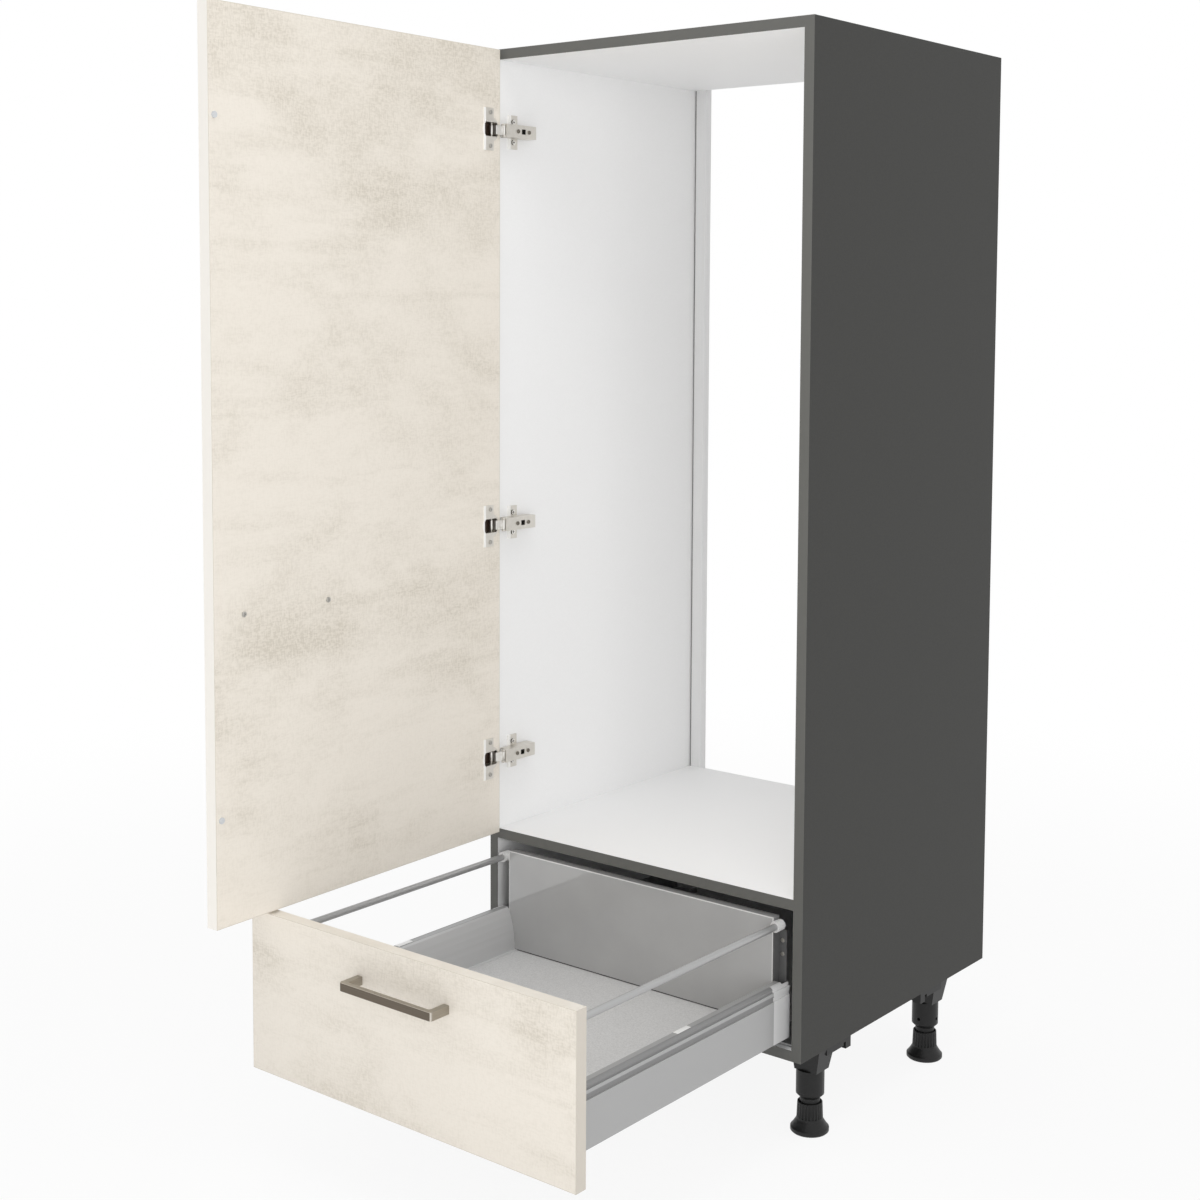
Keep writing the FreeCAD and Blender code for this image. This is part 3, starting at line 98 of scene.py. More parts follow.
# %% A new finish, paint on part of it, and who wears it
def new_finish(name, colour, **sockets):
    """A material with its Principled shader set, its tree, the shader and its Object coordinates."""
    made = bpy.data.materials.new(name)
    made.use_nodes = True
    tree = made.node_tree
    shader = tree.nodes["Principled BSDF"]
    shader.inputs["Base Color"].default_value = linear(colour)
    for socket, value in sockets.items():
        shader.inputs[socket.replace("_", " ")].default_value = value
    place = node(tree, "ShaderNodeTexCoord").outputs["Object"]
    return made, tree, shader, place


# A Mix node has sockets for every kind of data. Those for colours are inputs 6 and 7 and output 2.
FACTOR, COLOUR_A, COLOUR_B, MIXED = 0, 6, 7, 2


def paint_where(material, axis, test, level, code, metallic=None):
    """Another colour, and perhaps another metallic, where an Object axis passes a level in millimetres."""
    tree = material.node_tree
    shader = tree.nodes["Principled BSDF"]
    place = node(tree, "ShaderNodeTexCoord").outputs["Object"]
    axes = node(tree, "ShaderNodeSeparateXYZ", links={0: place})
    mask = node(tree, "ShaderNodeMath", operation=test, links={0: axes.outputs[axis]},
                values={1: level * MM}).outputs[0]
    before = shader.inputs["Base Color"].links[0].from_socket
    colour = node(tree, "ShaderNodeMix", data_type="RGBA", links={FACTOR: mask, COLOUR_A: before},
                  values={COLOUR_B: linear(code)})
    tree.links.new(colour.outputs[MIXED], shader.inputs["Base Color"])
    if metallic is not None:
        share = node(tree, "ShaderNodeMapRange", links={0: mask},
                     values={"To Min": shader.inputs["Metallic"].default_value, "To Max": metallic})
        tree.links.new(share.outputs[0], shader.inputs["Metallic"])


def dress(material, *names):
    """Gives CAD nodes their finish."""
    for name in names:
        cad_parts[name].material_slots[0].material = material
    print(material.name, "on", ", ".join(names))


# %% [markdown]
# ## Carcass boards
# The boards are chipboard faced with melamine paper: matt anthracite outside, white inside, with an
# anthracite band glued on the front edge. Painting each face by hand would need a cut-up mesh.
# Instead the finish asks where it is: past the inner plane of its board it is white, and on the front
# plane it is edge band, painted lighter than the paper as a painted sheen.
# The pressed paper has a pearl grain of about half a millimetre.
# That is too fine for this picture, so it is drawn at 1.6 mm.

# %% Melamine board, anthracite outside and white inside
ANTHRACITE, ANTHRACITE_LIGHT, ANTHRACITE_BAND_SHEEN = "#393937", "#3F3F3D", "#666663"
MELAMINE_WHITE, MELAMINE_LIGHT = "#F5F5F5", "#F9F9F9"
# The skin takes in the softened edge beside a plane, and the paper leaves it out.
FRONT_EDGE_MM, SKIN_MM, PAPER_MM = 21.0, 0.4, 0.05
PEARL_MM, PEARL_DEPTH_MM = 1.6, 0.05
BOARD = {"Roughness": 0.55, "IOR": 1.5, "Specular_IOR_Level": 0.25}


def pearl_grain(tree, shader, place):
    """The pressed grain of melamine paper, as a pattern that also raises the surface."""
    grain = node(tree, "ShaderNodeTexNoise", links={"Vector": place},
                 values={"Scale": per(PEARL_MM), "Detail": 3.0})
    bump = node(tree, "ShaderNodeBump", links={"Height": grain.outputs[0]},
                values={"Strength": 0.12, "Distance": PEARL_DEPTH_MM * MM})
    tree.links.new(bump.outputs[0], shader.inputs["Normal"])
    return grain.outputs[0]


def melamine(name, axis, test, level):
    """Anthracite board that is white where an Object axis passes a level in millimetres."""
    made, tree, shader, place = new_finish(name, ANTHRACITE, **BOARD)
    axes = node(tree, "ShaderNodeSeparateXYZ", links={0: place})
    inside = node(tree, "ShaderNodeMath", operation=test, links={0: axes.outputs[axis]},
                  values={1: level * MM})
    grain = pearl_grain(tree, shader, place)
    dark = node(tree, "ShaderNodeValToRGB", links={0: grain},
                stops=[(0.3, ANTHRACITE), (0.7, ANTHRACITE_LIGHT)])
    white = node(tree, "ShaderNodeValToRGB", links={0: grain},
                 stops=[(0.3, MELAMINE_WHITE), (0.7, MELAMINE_LIGHT)])
    faces = node(tree, "ShaderNodeMix", data_type="RGBA",
                 links={FACTOR: inside.outputs[0], COLOUR_A: dark.outputs[0], COLOUR_B: white.outputs[0]})
    tree.links.new(faces.outputs[MIXED], shader.inputs["Base Color"])
    # The front plane gets the edge band's tone, painted lighter as a painted sheen.
    paint_where(made, "Y", "LESS_THAN", FRONT_EDGE_MM + SKIN_MM, ANTHRACITE_BAND_SHEEN)
    return made


# %% The five boards
left_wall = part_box("left_side_panel")[1].x / MM - PAPER_MM
right_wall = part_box("right_side_panel")[0].x / MM + PAPER_MM
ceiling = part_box("top_panel")[0].z / MM + PAPER_MM
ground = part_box("bottom_panel")[1].z / MM - PAPER_MM
dress(melamine("melamine_left_side", "X", "GREATER_THAN", left_wall), "left_side_panel")
dress(melamine("melamine_right_side", "X", "LESS_THAN", right_wall), "right_side_panel")
dress(melamine("melamine_top", "Z", "LESS_THAN", ceiling), "top_panel")
dress(melamine("melamine_bottom", "Z", "GREATER_THAN", ground), "bottom_panel")
dress(melamine("melamine_shelf", "Y", "GREATER_THAN", FRONT_EDGE_MM), "niche_shelf")

# %% [markdown]
# ## White boards
# Two narrow strips stand in the rear corners of the niche, and a thin board closes the back of the drawer's
# room. They are white all round, with the same pearl grain as the inside of the carcass.
# A thin dark line of painted shade marks the gap where each strip meets the side panel.

# %% White melamine
STRIP_WHITE, STRIP_LIGHT = "#EAEAEA", "#EFEFEF"
GAP_SHADE_MM, GAP_SHADE = 1.8, "#8C8C8C"
white_board, tree, shader, place = new_finish("white_melamine", MELAMINE_WHITE, **BOARD)
grain = pearl_grain(tree, shader, place)
shade = node(tree, "ShaderNodeValToRGB", links={0: grain}, stops=[(0.3, STRIP_WHITE), (0.7, STRIP_LIGHT)])
tree.links.new(shade.outputs[0], shader.inputs["Base Color"])
strip_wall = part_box("rear_strip_left")[0].x / MM
# Painted shade: a dark line in the gap beside each side panel.
paint_where(white_board, "X", "LESS_THAN", strip_wall + GAP_SHADE_MM, GAP_SHADE)
paint_where(white_board, "X", "GREATER_THAN", -strip_wall - GAP_SHADE_MM, GAP_SHADE)
dress(white_board, "rear_strip_left", "rear_strip_right", "drawer_compartment_back")

# %% [markdown]
# ## Laminate of the fronts
# Door and drawer front carry a printed laminate that looks like pale trowelled concrete: cream, with wide
# soft clouds, horizontal trowel drags and a dry, crossed brush grain where the grey-beige shows through.
# Noise at those sizes makes it. The brush grain is two noises, one stretched upright and one across.
# It is strong inside the clouds and weak elsewhere, so they look brushed on rather than airbrushed.
# The real grain is half a millimetre wide. It is drawn at 2.5 mm to show here.

# %% Clouds, drags and brush grain
CREAM, CLOUD = "#F0E9DE", "#D4CCBE"
CLOUD_MM, DRAG_MM, BRUSH_MM = 300.0, 220.0, 2.5
PRINT_SHIFT = (0.11, 0.0, -0.47)
laminate, tree, shader, place = new_finish("concrete_laminate", CREAM, Roughness=0.55, IOR=1.5)


def stretched_noise(tree, place, size, stretch, shift=(0.0, 0.0, 0.0), **values):
    """Noise of that many millimetres, drawn out along the axes whose stretch is small."""
    drawn = node(tree, "ShaderNodeMapping", links={0: place}, values={"Scale": stretch, "Location": shift})
    return node(tree, "ShaderNodeTexNoise", links={"Vector": drawn.outputs[0]},
                values={"Scale": per(size), **values}).outputs[0]


clouds = stretched_noise(tree, place, CLOUD_MM, (1.0, 0.8, 1.4), PRINT_SHIFT, Detail=10.0, Roughness=0.64)
drags = stretched_noise(tree, place, DRAG_MM, (0.8, 0.8, 6.0), PRINT_SHIFT, Detail=8.0, Roughness=0.66)
upright = stretched_noise(tree, place, BRUSH_MM, (1.0, 1.0, 0.3), Detail=3.0, Roughness=0.6)
across = stretched_noise(tree, place, BRUSH_MM, (0.3, 0.3, 1.0), Detail=3.0, Roughness=0.6)
crossed = node(tree, "ShaderNodeMath", operation="ADD", links={0: upright, 1: across}).outputs[0]
print("laminate in mm: clouds", CLOUD_MM, "drags", DRAG_MM, "brush grain", BRUSH_MM)

# %% Tones of the laminate
BRUSH_DEPTH_MM = 0.08
patches = node(tree, "ShaderNodeMapRange", links={0: clouds}, interpolation_type="SMOOTHSTEP",
               values={"From Min": 0.42, "From Max": 0.7, "To Max": 0.8})
streaks = node(tree, "ShaderNodeMapRange", links={0: drags},
               values={"From Min": 0.49, "From Max": 0.74, "To Max": 0.5})
worn = node(tree, "ShaderNodeMath", operation="ADD", use_clamp=True,
            links={0: patches.outputs[0], 1: streaks.outputs[0]})
dry = node(tree, "ShaderNodeMapRange", links={0: crossed},
           values={"From Min": 0.85, "From Max": 1.15, "To Min": 0.42, "To Max": 1.0})
fleck = node(tree, "ShaderNodeMapRange", links={0: crossed},
             values={"From Min": 0.9, "From Max": 1.2, "To Max": 0.15})
amount = node(tree, "ShaderNodeMath", operation="MULTIPLY_ADD", use_clamp=True,
              links={0: worn.outputs[0], 1: dry.outputs[0], 2: fleck.outputs[0]})
shade = node(tree, "ShaderNodeMix", data_type="RGBA", links={FACTOR: amount.outputs[0]},
             values={COLOUR_A: linear(CREAM), COLOUR_B: linear(CLOUD)})
bump = node(tree, "ShaderNodeBump", links={"Height": crossed},
            values={"Strength": 0.15, "Distance": BRUSH_DEPTH_MM * MM})
tree.links.new(shade.outputs[MIXED], shader.inputs["Base Color"])
tree.links.new(bump.outputs[0], shader.inputs["Normal"])
dress(laminate, "door_panel", "drawer_front")

# %% [markdown]
# ## Edge bands of the fronts
# Each front's edges carry a plastic band, one millimetre thick. Seen from the face, only that millimetre
# shows, with the glue line that makes it look greyer. The surface's own direction tells the two apart: on
# the door the faces look along X, and on the drawer front along Y. The upright bands of the door are painted
# paler as painted light, and those of the drawer front a darker beige than its top as painted shade.

# %% Cream edge band
BAND_CREAM, BAND_BEIGE, GLUE_LINE = "#F2ECE2", "#E8E1D5", "#DAD3C6"
BAND_PRINT_MM = 60.0
FACES_ALONG = 0.8


def edge_band(name, face_axis, upright_axis, upright_painted_tone):
    """Cream plastic band with a painted lighting tone on upright edges, greyer where it lies in the front's
    face.
    """
    made, tree, shader, place = new_finish(name, "#F0EAE0", Roughness=0.45, IOR=1.5)
    tone = stretched_noise(tree, place, BAND_PRINT_MM, (1.0, 1.0, 0.25), Detail=4.0)
    shade = node(tree, "ShaderNodeValToRGB", links={0: tone},
                 stops=[(0.35, BAND_CREAM), (0.7, BAND_BEIGE)]).outputs[0]
    normal = node(tree, "ShaderNodeTexCoord").outputs["Normal"]
    facing = node(tree, "ShaderNodeSeparateXYZ", links={0: normal})
    for axis, code in ((upright_axis, upright_painted_tone), (face_axis, GLUE_LINE)):
        turned = node(tree, "ShaderNodeMath", operation="ABSOLUTE", links={0: facing.outputs[axis]})
        along = node(tree, "ShaderNodeMath", operation="GREATER_THAN", links={0: turned.outputs[0]},
                     values={1: FACES_ALONG})
        shade = node(tree, "ShaderNodeMix", data_type="RGBA",
                     links={FACTOR: along.outputs[0], COLOUR_A: shade},
                     values={COLOUR_B: linear(code)}).outputs[MIXED]
    tree.links.new(shade, shader.inputs["Base Color"])
    return made


# Painted light: the door's upright bands are painted paler.
dress(edge_band("cream_door_band", "X", "Y", "#F8F4ED"), "door_edge_bands")
# Painted shade: the drawer front's upright bands are painted darker.
dress(edge_band("cream_drawer_band", "Y", "X", "#D3CCC1"), "drawer_front_edge_bands")

# %% [markdown]
# ## Boards of the drawer
# The drawer's floor is light grey board with a fine salt-and-pepper print. The back has a glossy silver
# lacquer with metal flakes in it, so the side wall and the floor mirror in it. A bright line is painted on
# its front along the top and the sides as a painted highlight, and its top is painted darker.
# A dark line of painted shade runs along its foot, where it stands on the floor.

# %% Speckled grey board
PEPPER_MM, PEPPER_DEPTH_MM = 2.2, 0.05
floor_board, tree, shader, place = new_finish("speckled_grey_board", "#D4D4D4", Roughness=0.45, IOR=1.5)
pepper = node(tree, "ShaderNodeTexNoise", links={"Vector": place},
              values={"Scale": per(PEPPER_MM), "Detail": 3.0, "Roughness": 0.8})
shade = node(tree, "ShaderNodeValToRGB", links={0: pepper.outputs[0]},
             stops=[(0.36, "#C8C8C8"), (0.5, "#D4D4D4"), (0.66, "#DEDEDE")])
bump = node(tree, "ShaderNodeBump", links={"Height": pepper.outputs[0]},
            values={"Strength": 0.2, "Distance": PEPPER_DEPTH_MM * MM})
tree.links.new(shade.outputs[0], shader.inputs["Base Color"])
tree.links.new(bump.outputs[0], shader.inputs["Normal"])
dress(floor_board, "drawer_bottom")

# %% Silver lacquered board
LACQUER, LACQUER_LIGHT, FOOT_SHADE = "#B0B0B0", "#B6B6B6", "#4A4A4A"
DARKER_TOP, EDGE_HIGHLIGHT = "#A0A0A0", "#EAEAEA"
LACQUER_CLOUD_MM, EDGE_LINE_MM, FOOT_SHADE_MM = 90.0, 1.3, 1.8
back_low, back_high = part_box("drawer_back")
back_board, tree, shader, place = new_finish("silver_lacquered_board", LACQUER, Metallic=0.15)
cloud = node(tree, "ShaderNodeTexNoise", links={"Vector": place},
             values={"Scale": per(LACQUER_CLOUD_MM), "Detail": 3.0})
tone = node(tree, "ShaderNodeValToRGB", links={0: cloud.outputs[0]},
            stops=[(0.3, LACQUER), (0.7, LACQUER_LIGHT)])
gloss = node(tree, "ShaderNodeMapRange", links={0: cloud.outputs[0]}, values={"To Min": 0.04, "To Max": 0.08})
tree.links.new(gloss.outputs[0], shader.inputs["Roughness"])

# %% Its painted edge highlight, darker top and painted shade at the foot
axes = node(tree, "ShaderNodeSeparateXYZ", links={0: place})
across = node(tree, "ShaderNodeMath", operation="ABSOLUTE", links={0: axes.outputs["X"]})
at_side = node(tree, "ShaderNodeMath", operation="GREATER_THAN", links={0: across.outputs[0]},
               values={1: back_high.x - EDGE_LINE_MM * MM})
at_top = node(tree, "ShaderNodeMath", operation="GREATER_THAN", links={0: axes.outputs["Z"]},
              values={1: back_high.z - EDGE_LINE_MM * MM})
at_edge = node(tree, "ShaderNodeMath", operation="MAXIMUM",
               links={0: at_side.outputs[0], 1: at_top.outputs[0]})
at_front = node(tree, "ShaderNodeMath", operation="LESS_THAN", links={0: axes.outputs["Y"]},
                values={1: back_low.y + EDGE_LINE_MM * MM})
# Painted highlight on the front of the top and side edges, and the top itself painted darker.
band = node(tree, "ShaderNodeMix", data_type="RGBA", links={FACTOR: at_front.outputs[0]},
            values={COLOUR_A: linear(DARKER_TOP), COLOUR_B: linear(EDGE_HIGHLIGHT)})
shade = node(tree, "ShaderNodeMix", data_type="RGBA",
             links={FACTOR: at_edge.outputs[0], COLOUR_A: tone.outputs[0], COLOUR_B: band.outputs[MIXED]})
tree.links.new(shade.outputs[MIXED], shader.inputs["Base Color"])
# Painted shade along the foot of the back, where it stands on the floor.
paint_where(back_board, "Z", "LESS_THAN", back_low.z / MM + FOOT_SHADE_MM, FOOT_SHADE)
dress(back_board, "drawer_back")

# %% [markdown]
# ## Metals
# Hinges are pressed steel with nickel plating, and their links are polished brighter. Screws, runners and
# rails are zinc-plated, which is duller, and the screws in the hinge arms are a darker zinc.
# The back's brackets are grey lacquered steel. The front rims of hinge cups and plates carry a painted
# highlight, bright and less metallic, the plates' seats under the arms are painted dark as painted shade,
# and the plates' screws have a bright head with a painted dark line of shade round the rim.
# All keep their default IOR. Only colour, metallic, roughness and marks tell them apart.

# %% Nickel-plated hinges
HINGES = ("top", "middle", "bottom")
NICKEL, NICKEL_LIGHT, RIM_HIGHLIGHT, SEAT_SHADE = "#DAD6CE", "#E3DFD8", "#FAF9F6", "#26231F"
POLISHED, POLISHED_LIGHT = "#F0EEE9", "#F6F4F0"
CUP_RIM_MM, PLATE_RIM_MM, PLATE_SEAT_MM = -21.4, 48.0, -277.0


def metal(name, dull, light, roughness, mark, metallic=1.0, stretch=(1.0, 1.0, 1.0)):
    """A metal whose tone and gloss vary in marks of that many millimetres."""
    made, tree, shader, place = new_finish(name, dull, Metallic=metallic)
    marks = stretched_noise(tree, place, mark, stretch, Detail=4.0, Roughness=0.6)
    shade = node(tree, "ShaderNodeValToRGB", links={0: marks}, stops=[(0.3, dull), (0.7, light)])
    gloss = node(tree, "ShaderNodeMapRange", links={0: marks},
                 values={"To Min": roughness * 0.8, "To Max": roughness * 1.2})
    tree.links.new(shade.outputs[0], shader.inputs["Base Color"])
    tree.links.new(gloss.outputs[0], shader.inputs["Roughness"])
    return made


nickel = metal("nickel_plated_steel", NICKEL, NICKEL_LIGHT, 0.38, 9)
dress(nickel, "hinge_arm_pins", "hinge_cup_pins", *[f"hinge_arm_{level}" for level in HINGES])
cup_nickel = metal("nickel_plated_cup", NICKEL, NICKEL_LIGHT, 0.38, 9)
# Painted highlight: the cup's front rim is painted near white and less metallic.
paint_where(cup_nickel, "Y", "LESS_THAN", CUP_RIM_MM, RIM_HIGHLIGHT, metallic=0.1)
dress(cup_nickel, *[f"hinge_cup_{level}" for level in HINGES])
plate_nickel = metal("nickel_plated_plate", NICKEL, NICKEL_LIGHT, 0.38, 9)
# Painted highlight: the plate's front rim is painted near white and less metallic.
paint_where(plate_nickel, "Y", "LESS_THAN", PLATE_RIM_MM, RIM_HIGHLIGHT, metallic=0.1)
# Painted shade: the plate's seat under the arm is painted near black.
paint_where(plate_nickel, "X", "GREATER_THAN", PLATE_SEAT_MM, SEAT_SHADE)
dress(plate_nickel, "hinge_plates")
bright_nickel = metal("polished_nickel", POLISHED, POLISHED_LIGHT, 0.3, 9)
dress(bright_nickel, *[f"hinge_link_{level}" for level in HINGES])

# %% Screws, runners and rails
SIDES = ("left", "right")
ALONG_Y = (1.0, 0.02, 1.0)
SCREW_RIM_SHADE, RIM_DEPTH_MM = "#4A443B", 0.1
shade_rimmed_nickel = metal("shade_rimmed_nickel", POLISHED, POLISHED_LIGHT, 0.3, 5)
screw_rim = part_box("hinge_plate_screws")[1].x / MM - RIM_DEPTH_MM
# Painted shade: a dark line painted round the rim of each plate screw's head.
paint_where(shade_rimmed_nickel, "X", "LESS_THAN", screw_rim, SCREW_RIM_SHADE)
dress(shade_rimmed_nickel, "hinge_plate_screws")
zinc = metal("zinc_plated_steel", "#B9B7B2", "#CBC9C4", 0.3, 5)
dress(zinc, "hinge_cup_screws", "door_handle_screws", "drawer_handle_screws", "back_bracket_screws",
      "cabinet_rail_screws", "foot_socket_screws")
# A darker copy of the zinc, for the screws in the hinge arms.
darker_zinc = metal("oiled_zinc_steel", "#827D74", "#918C83", 0.3, 5)
dress(darker_zinc, "hinge_arm_screws")
runner_zinc = metal("galvanised_runner_steel", "#A8A9A9", "#B8B9B9", 0.36, 12, metallic=0.5)
for part in ("cabinet_rail", "drawer_rail", "runner_member"):
    dress(runner_zinc, *[f"{part}_{side}" for side in SIDES])
railing = metal("satin_steel_tube", "#ADADAD", "#B7B7B7", 0.34, 8, metallic=0.6, stretch=ALONG_Y)
dress(railing, "railing_left", "railing_right")
bracket_steel = metal("grey_lacquered_steel", "#5F5F5F", "#686868", 0.4, 10, metallic=0.2)
dress(bracket_steel, "drawer_back_brackets", "drawer_front_brackets")

# %% [markdown]
# ## Drawer sides
# The double-walled sides are folded from steel with a silver-grey powder coat, part metal and part paint
# to the eye. The ledge on top is greyer than the inner wall. On the outer wall a groove and a hollow flank
# run along under the ledge and are painted darker, as painted shade and dark reflection, and the rear end
# is a lighter cap, as is the foot that lies on the drawer's floor. The finish reads height, width and depth
# to know where those are.

# %% Silver coat of the inner wall and the ledge
COAT_IN, COAT_IN_LIGHT, COAT_LEDGE = "#CBCBCB", "#CFCFCF", "#A8A8A8"
COAT_MARK_MM, LEDGE_MM = 10.0, 245.0
coat, tree, shader, place = new_finish("silver_coated_steel", COAT_IN, Metallic=0.3, Roughness=0.4)
marks = stretched_noise(tree, place, COAT_MARK_MM, ALONG_Y, Detail=3.0)
plain = node(tree, "ShaderNodeValToRGB", links={0: marks}, stops=[(0.3, COAT_IN), (0.7, COAT_IN_LIGHT)])
axes = node(tree, "ShaderNodeSeparateXYZ", links={0: place})
on_ledge = node(tree, "ShaderNodeMath", operation="GREATER_THAN", links={0: axes.outputs["Z"]},
                values={1: (LEDGE_MM - SKIN_MM) * MM})
inner = node(tree, "ShaderNodeMix", data_type="RGBA",
             links={FACTOR: on_ledge.outputs[0], COLOUR_A: plain.outputs[0]},
             values={COLOUR_B: linear(COAT_LEDGE)})
print("ledge of the drawer sides at", LEDGE_MM, "mm")

# %% Painted shade and dark reflection on the outer wall's groove and flank
COAT_OUT, FLANK_SHADE, GROOVE_SHADE = "#ADADAD", "#8B8B8B", "#858585"
GROOVE_LOW_MM, OUTER_WALL_MM = 225.0, 265.5
height = node(tree, "ShaderNodeMapRange", links={0: axes.outputs["Z"]},
              values={"From Min": GROOVE_LOW_MM * MM, "From Max": LEDGE_MM * MM})
# Painted shade and dark reflection: the groove and the flank under the ledge are painted darker.
shade_bands = node(tree, "ShaderNodeValToRGB", links={0: height.outputs[0]},
              stops=[(0.0, COAT_OUT), (0.02, GROOVE_SHADE), (0.38, GROOVE_SHADE), (0.44, COAT_OUT),
                     (0.63, COAT_OUT), (0.66, FLANK_SHADE)])
across = node(tree, "ShaderNodeMath", operation="ABSOLUTE", links={0: axes.outputs["X"]})
outside = node(tree, "ShaderNodeMath", operation="GREATER_THAN", links={0: across.outputs[0]},
               values={1: OUTER_WALL_MM * MM})
banded = node(tree, "ShaderNodeMix", data_type="RGBA", blend_type="DARKEN",
              links={FACTOR: outside.outputs[0], COLOUR_A: inner.outputs[MIXED], COLOUR_B: shade_bands.outputs[0]})
print("flutes from", GROOVE_LOW_MM, "to", LEDGE_MM, "mm")

# %% Lighter rear ends and feet
COAT_END = "#DEDEDE"
END_CAP_MM, FOOT_MM = -10.5, 240.7
behind = node(tree, "ShaderNodeMath", operation="GREATER_THAN", links={0: axes.outputs["Y"]},
              values={1: END_CAP_MM * MM})
at_end = node(tree, "ShaderNodeMath", operation="MULTIPLY",
              links={0: behind.outputs[0], 1: outside.outputs[0]})
at_foot = node(tree, "ShaderNodeMath", operation="LESS_THAN", links={0: across.outputs[0]},
               values={1: FOOT_MM * MM})
light = node(tree, "ShaderNodeMath", operation="MAXIMUM", links={0: at_end.outputs[0], 1: at_foot.outputs[0]})
shade = node(tree, "ShaderNodeMix", data_type="RGBA",
             links={FACTOR: light.outputs[0], COLOUR_A: banded.outputs[MIXED]},
             values={COLOUR_B: linear(COAT_END)})
tree.links.new(shade.outputs[MIXED], shader.inputs["Base Color"])
dress(coat, "drawer_side_left", "drawer_side_right")

# %% [markdown]
# ## Brushed handles
# The bow handles are die-cast zinc with a warm nickel plating, brushed along the grip, so the scratches are
# long and fine. Real ones are a tenth of a millimetre wide. They are drawn ten times coarser to show here.
# The top and the ends are painted lighter than the front as painted light, and the rounded edges as a painted
# highlight.

# %% Brushed nickel
SCRATCH_MM, SCRATCH_DEPTH_MM = 1.0, 0.02
LIT_TOP, HANDLE_EDGE_HIGHLIGHT, GRIP_FRONT = "#A8A298", "#E6DFD4", "#6F665B"
brushed_nickel, tree, shader, place = new_finish("brushed_nickel", "#6B6156", Metallic=1.0)
scratches = stretched_noise(tree, place, SCRATCH_MM, (0.03, 0.03, 1.0), Detail=4.0, Roughness=0.65)
normal = node(tree, "ShaderNodeTexCoord").outputs["Normal"]
facing = node(tree, "ShaderNodeSeparateXYZ", links={0: normal})
to_front = node(tree, "ShaderNodeMath", operation="MULTIPLY", links={0: facing.outputs["Y"]}, values={1: -1.0})
# Painted light by facing: lighter top and ends, and a painted highlight on the rounded edges.
painted_light = node(tree, "ShaderNodeValToRGB", links={0: to_front.outputs[0]},
            stops=[(0.35, LIT_TOP), (0.75, HANDLE_EDGE_HIGHLIGHT), (0.93, GRIP_FRONT)])
brushed = node(tree, "ShaderNodeMix", data_type="RGBA", blend_type="SOFT_LIGHT", values={FACTOR: 0.35},
               links={COLOUR_A: painted_light.outputs[0], COLOUR_B: scratches})
gloss = node(tree, "ShaderNodeMapRange", links={0: scratches}, values={"To Min": 0.26, "To Max": 0.4})
bump = node(tree, "ShaderNodeBump", links={"Height": scratches},
            values={"Strength": 0.1, "Distance": SCRATCH_DEPTH_MM * MM})
tree.links.new(brushed.outputs[MIXED], shader.inputs["Base Color"])
tree.links.new(gloss.outputs[0], shader.inputs["Roughness"])
tree.links.new(bump.outputs[0], shader.inputs["Normal"])
dress(brushed_nickel, "door_handle", "drawer_handle")

# %% [markdown]
# ## Plastics and wood
# The feet are moulded in black polypropylene with a fine spark-eroded grain. The railing's holders are
# silver-white, the dampers in the hinge cups dark brown, and the door's bumpers clear grey rubber.
# The beech dowels sit inside the joints, so their grain only shows if the boards are taken apart.

# %% Moulded plastics and rubber
MOULD_DEPTH_MM = 0.04


def moulded(name, dark, light, roughness, grain, specular=0.5):
    """A plastic with a moulded grain of that many millimetres."""
    made, tree, shader, place = new_finish(name, dark, Roughness=roughness, IOR=1.49,
                                           Specular_IOR_Level=specular)
    pits = node(tree, "ShaderNodeTexNoise", links={"Vector": place},
                values={"Scale": per(grain), "Detail": 3.0})
    tone = node(tree, "ShaderNodeValToRGB", links={0: pits.outputs[0]}, stops=[(0.3, dark), (0.7, light)])
    bump = node(tree, "ShaderNodeBump", links={"Height": pits.outputs[0]},
                values={"Strength": 0.2, "Distance": MOULD_DEPTH_MM * MM})
    tree.links.new(tone.outputs[0], shader.inputs["Base Color"])
    tree.links.new(bump.outputs[0], shader.inputs["Normal"])
    return made


FEET = [f"{end}_{side}" for end in ("front", "rear") for side in SIDES]
foot_plastic = moulded("black_polypropylene", "#161616", "#1E1E1E", 0.42, 1.5, specular=0.36)
dress(foot_plastic, "foot_sockets", "foot_sleeves", *[f"foot_adjuster_{foot}" for foot in FEET])
silver_plastic = moulded("silver_white_plastic", "#D2D2D1", "#DCDCDB", 0.35, 2.0)
dress(silver_plastic, "railing_clamps", "railing_holders")
dress(moulded("dark_brown_acetal", "#33271F", "#3E3028", 0.3, 2.0), "hinge_dampers")
dress(moulded("clear_grey_rubber", "#CBCDD0", "#D5D7D9", 0.5, 3.0), "door_bumpers")

# %% Beech
FIBRE_MM = 1.0
beech, tree, shader, place = new_finish("beech", "#C8A172", Roughness=0.6, IOR=1.5)
fibres = stretched_noise(tree, place, FIBRE_MM, (0.1, 1.0, 1.0), Detail=4.0)
tone = node(tree, "ShaderNodeValToRGB", links={0: fibres}, stops=[(0.35, "#B98F5F"), (0.65, "#D0AC80")])
tree.links.new(tone.outputs[0], shader.inputs["Base Color"])
dress(beech, "carcass_dowels")

# %% [markdown]
# ## Screws
# The fittings are held by pan-head screws with a cross recess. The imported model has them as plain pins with
# a flat head, which is all a collision needs. Each kind is modelled once: a cylinder with a rounded rim,
# a thinner shank drawn out of its underside down to a point, and a cross cut out of the top with booleans.
# The copies then go where the plain ones are, so their places are read from a merged copy of the CAD node.

# %% Reading the places of the plain screws
WELD_MM = 0.01


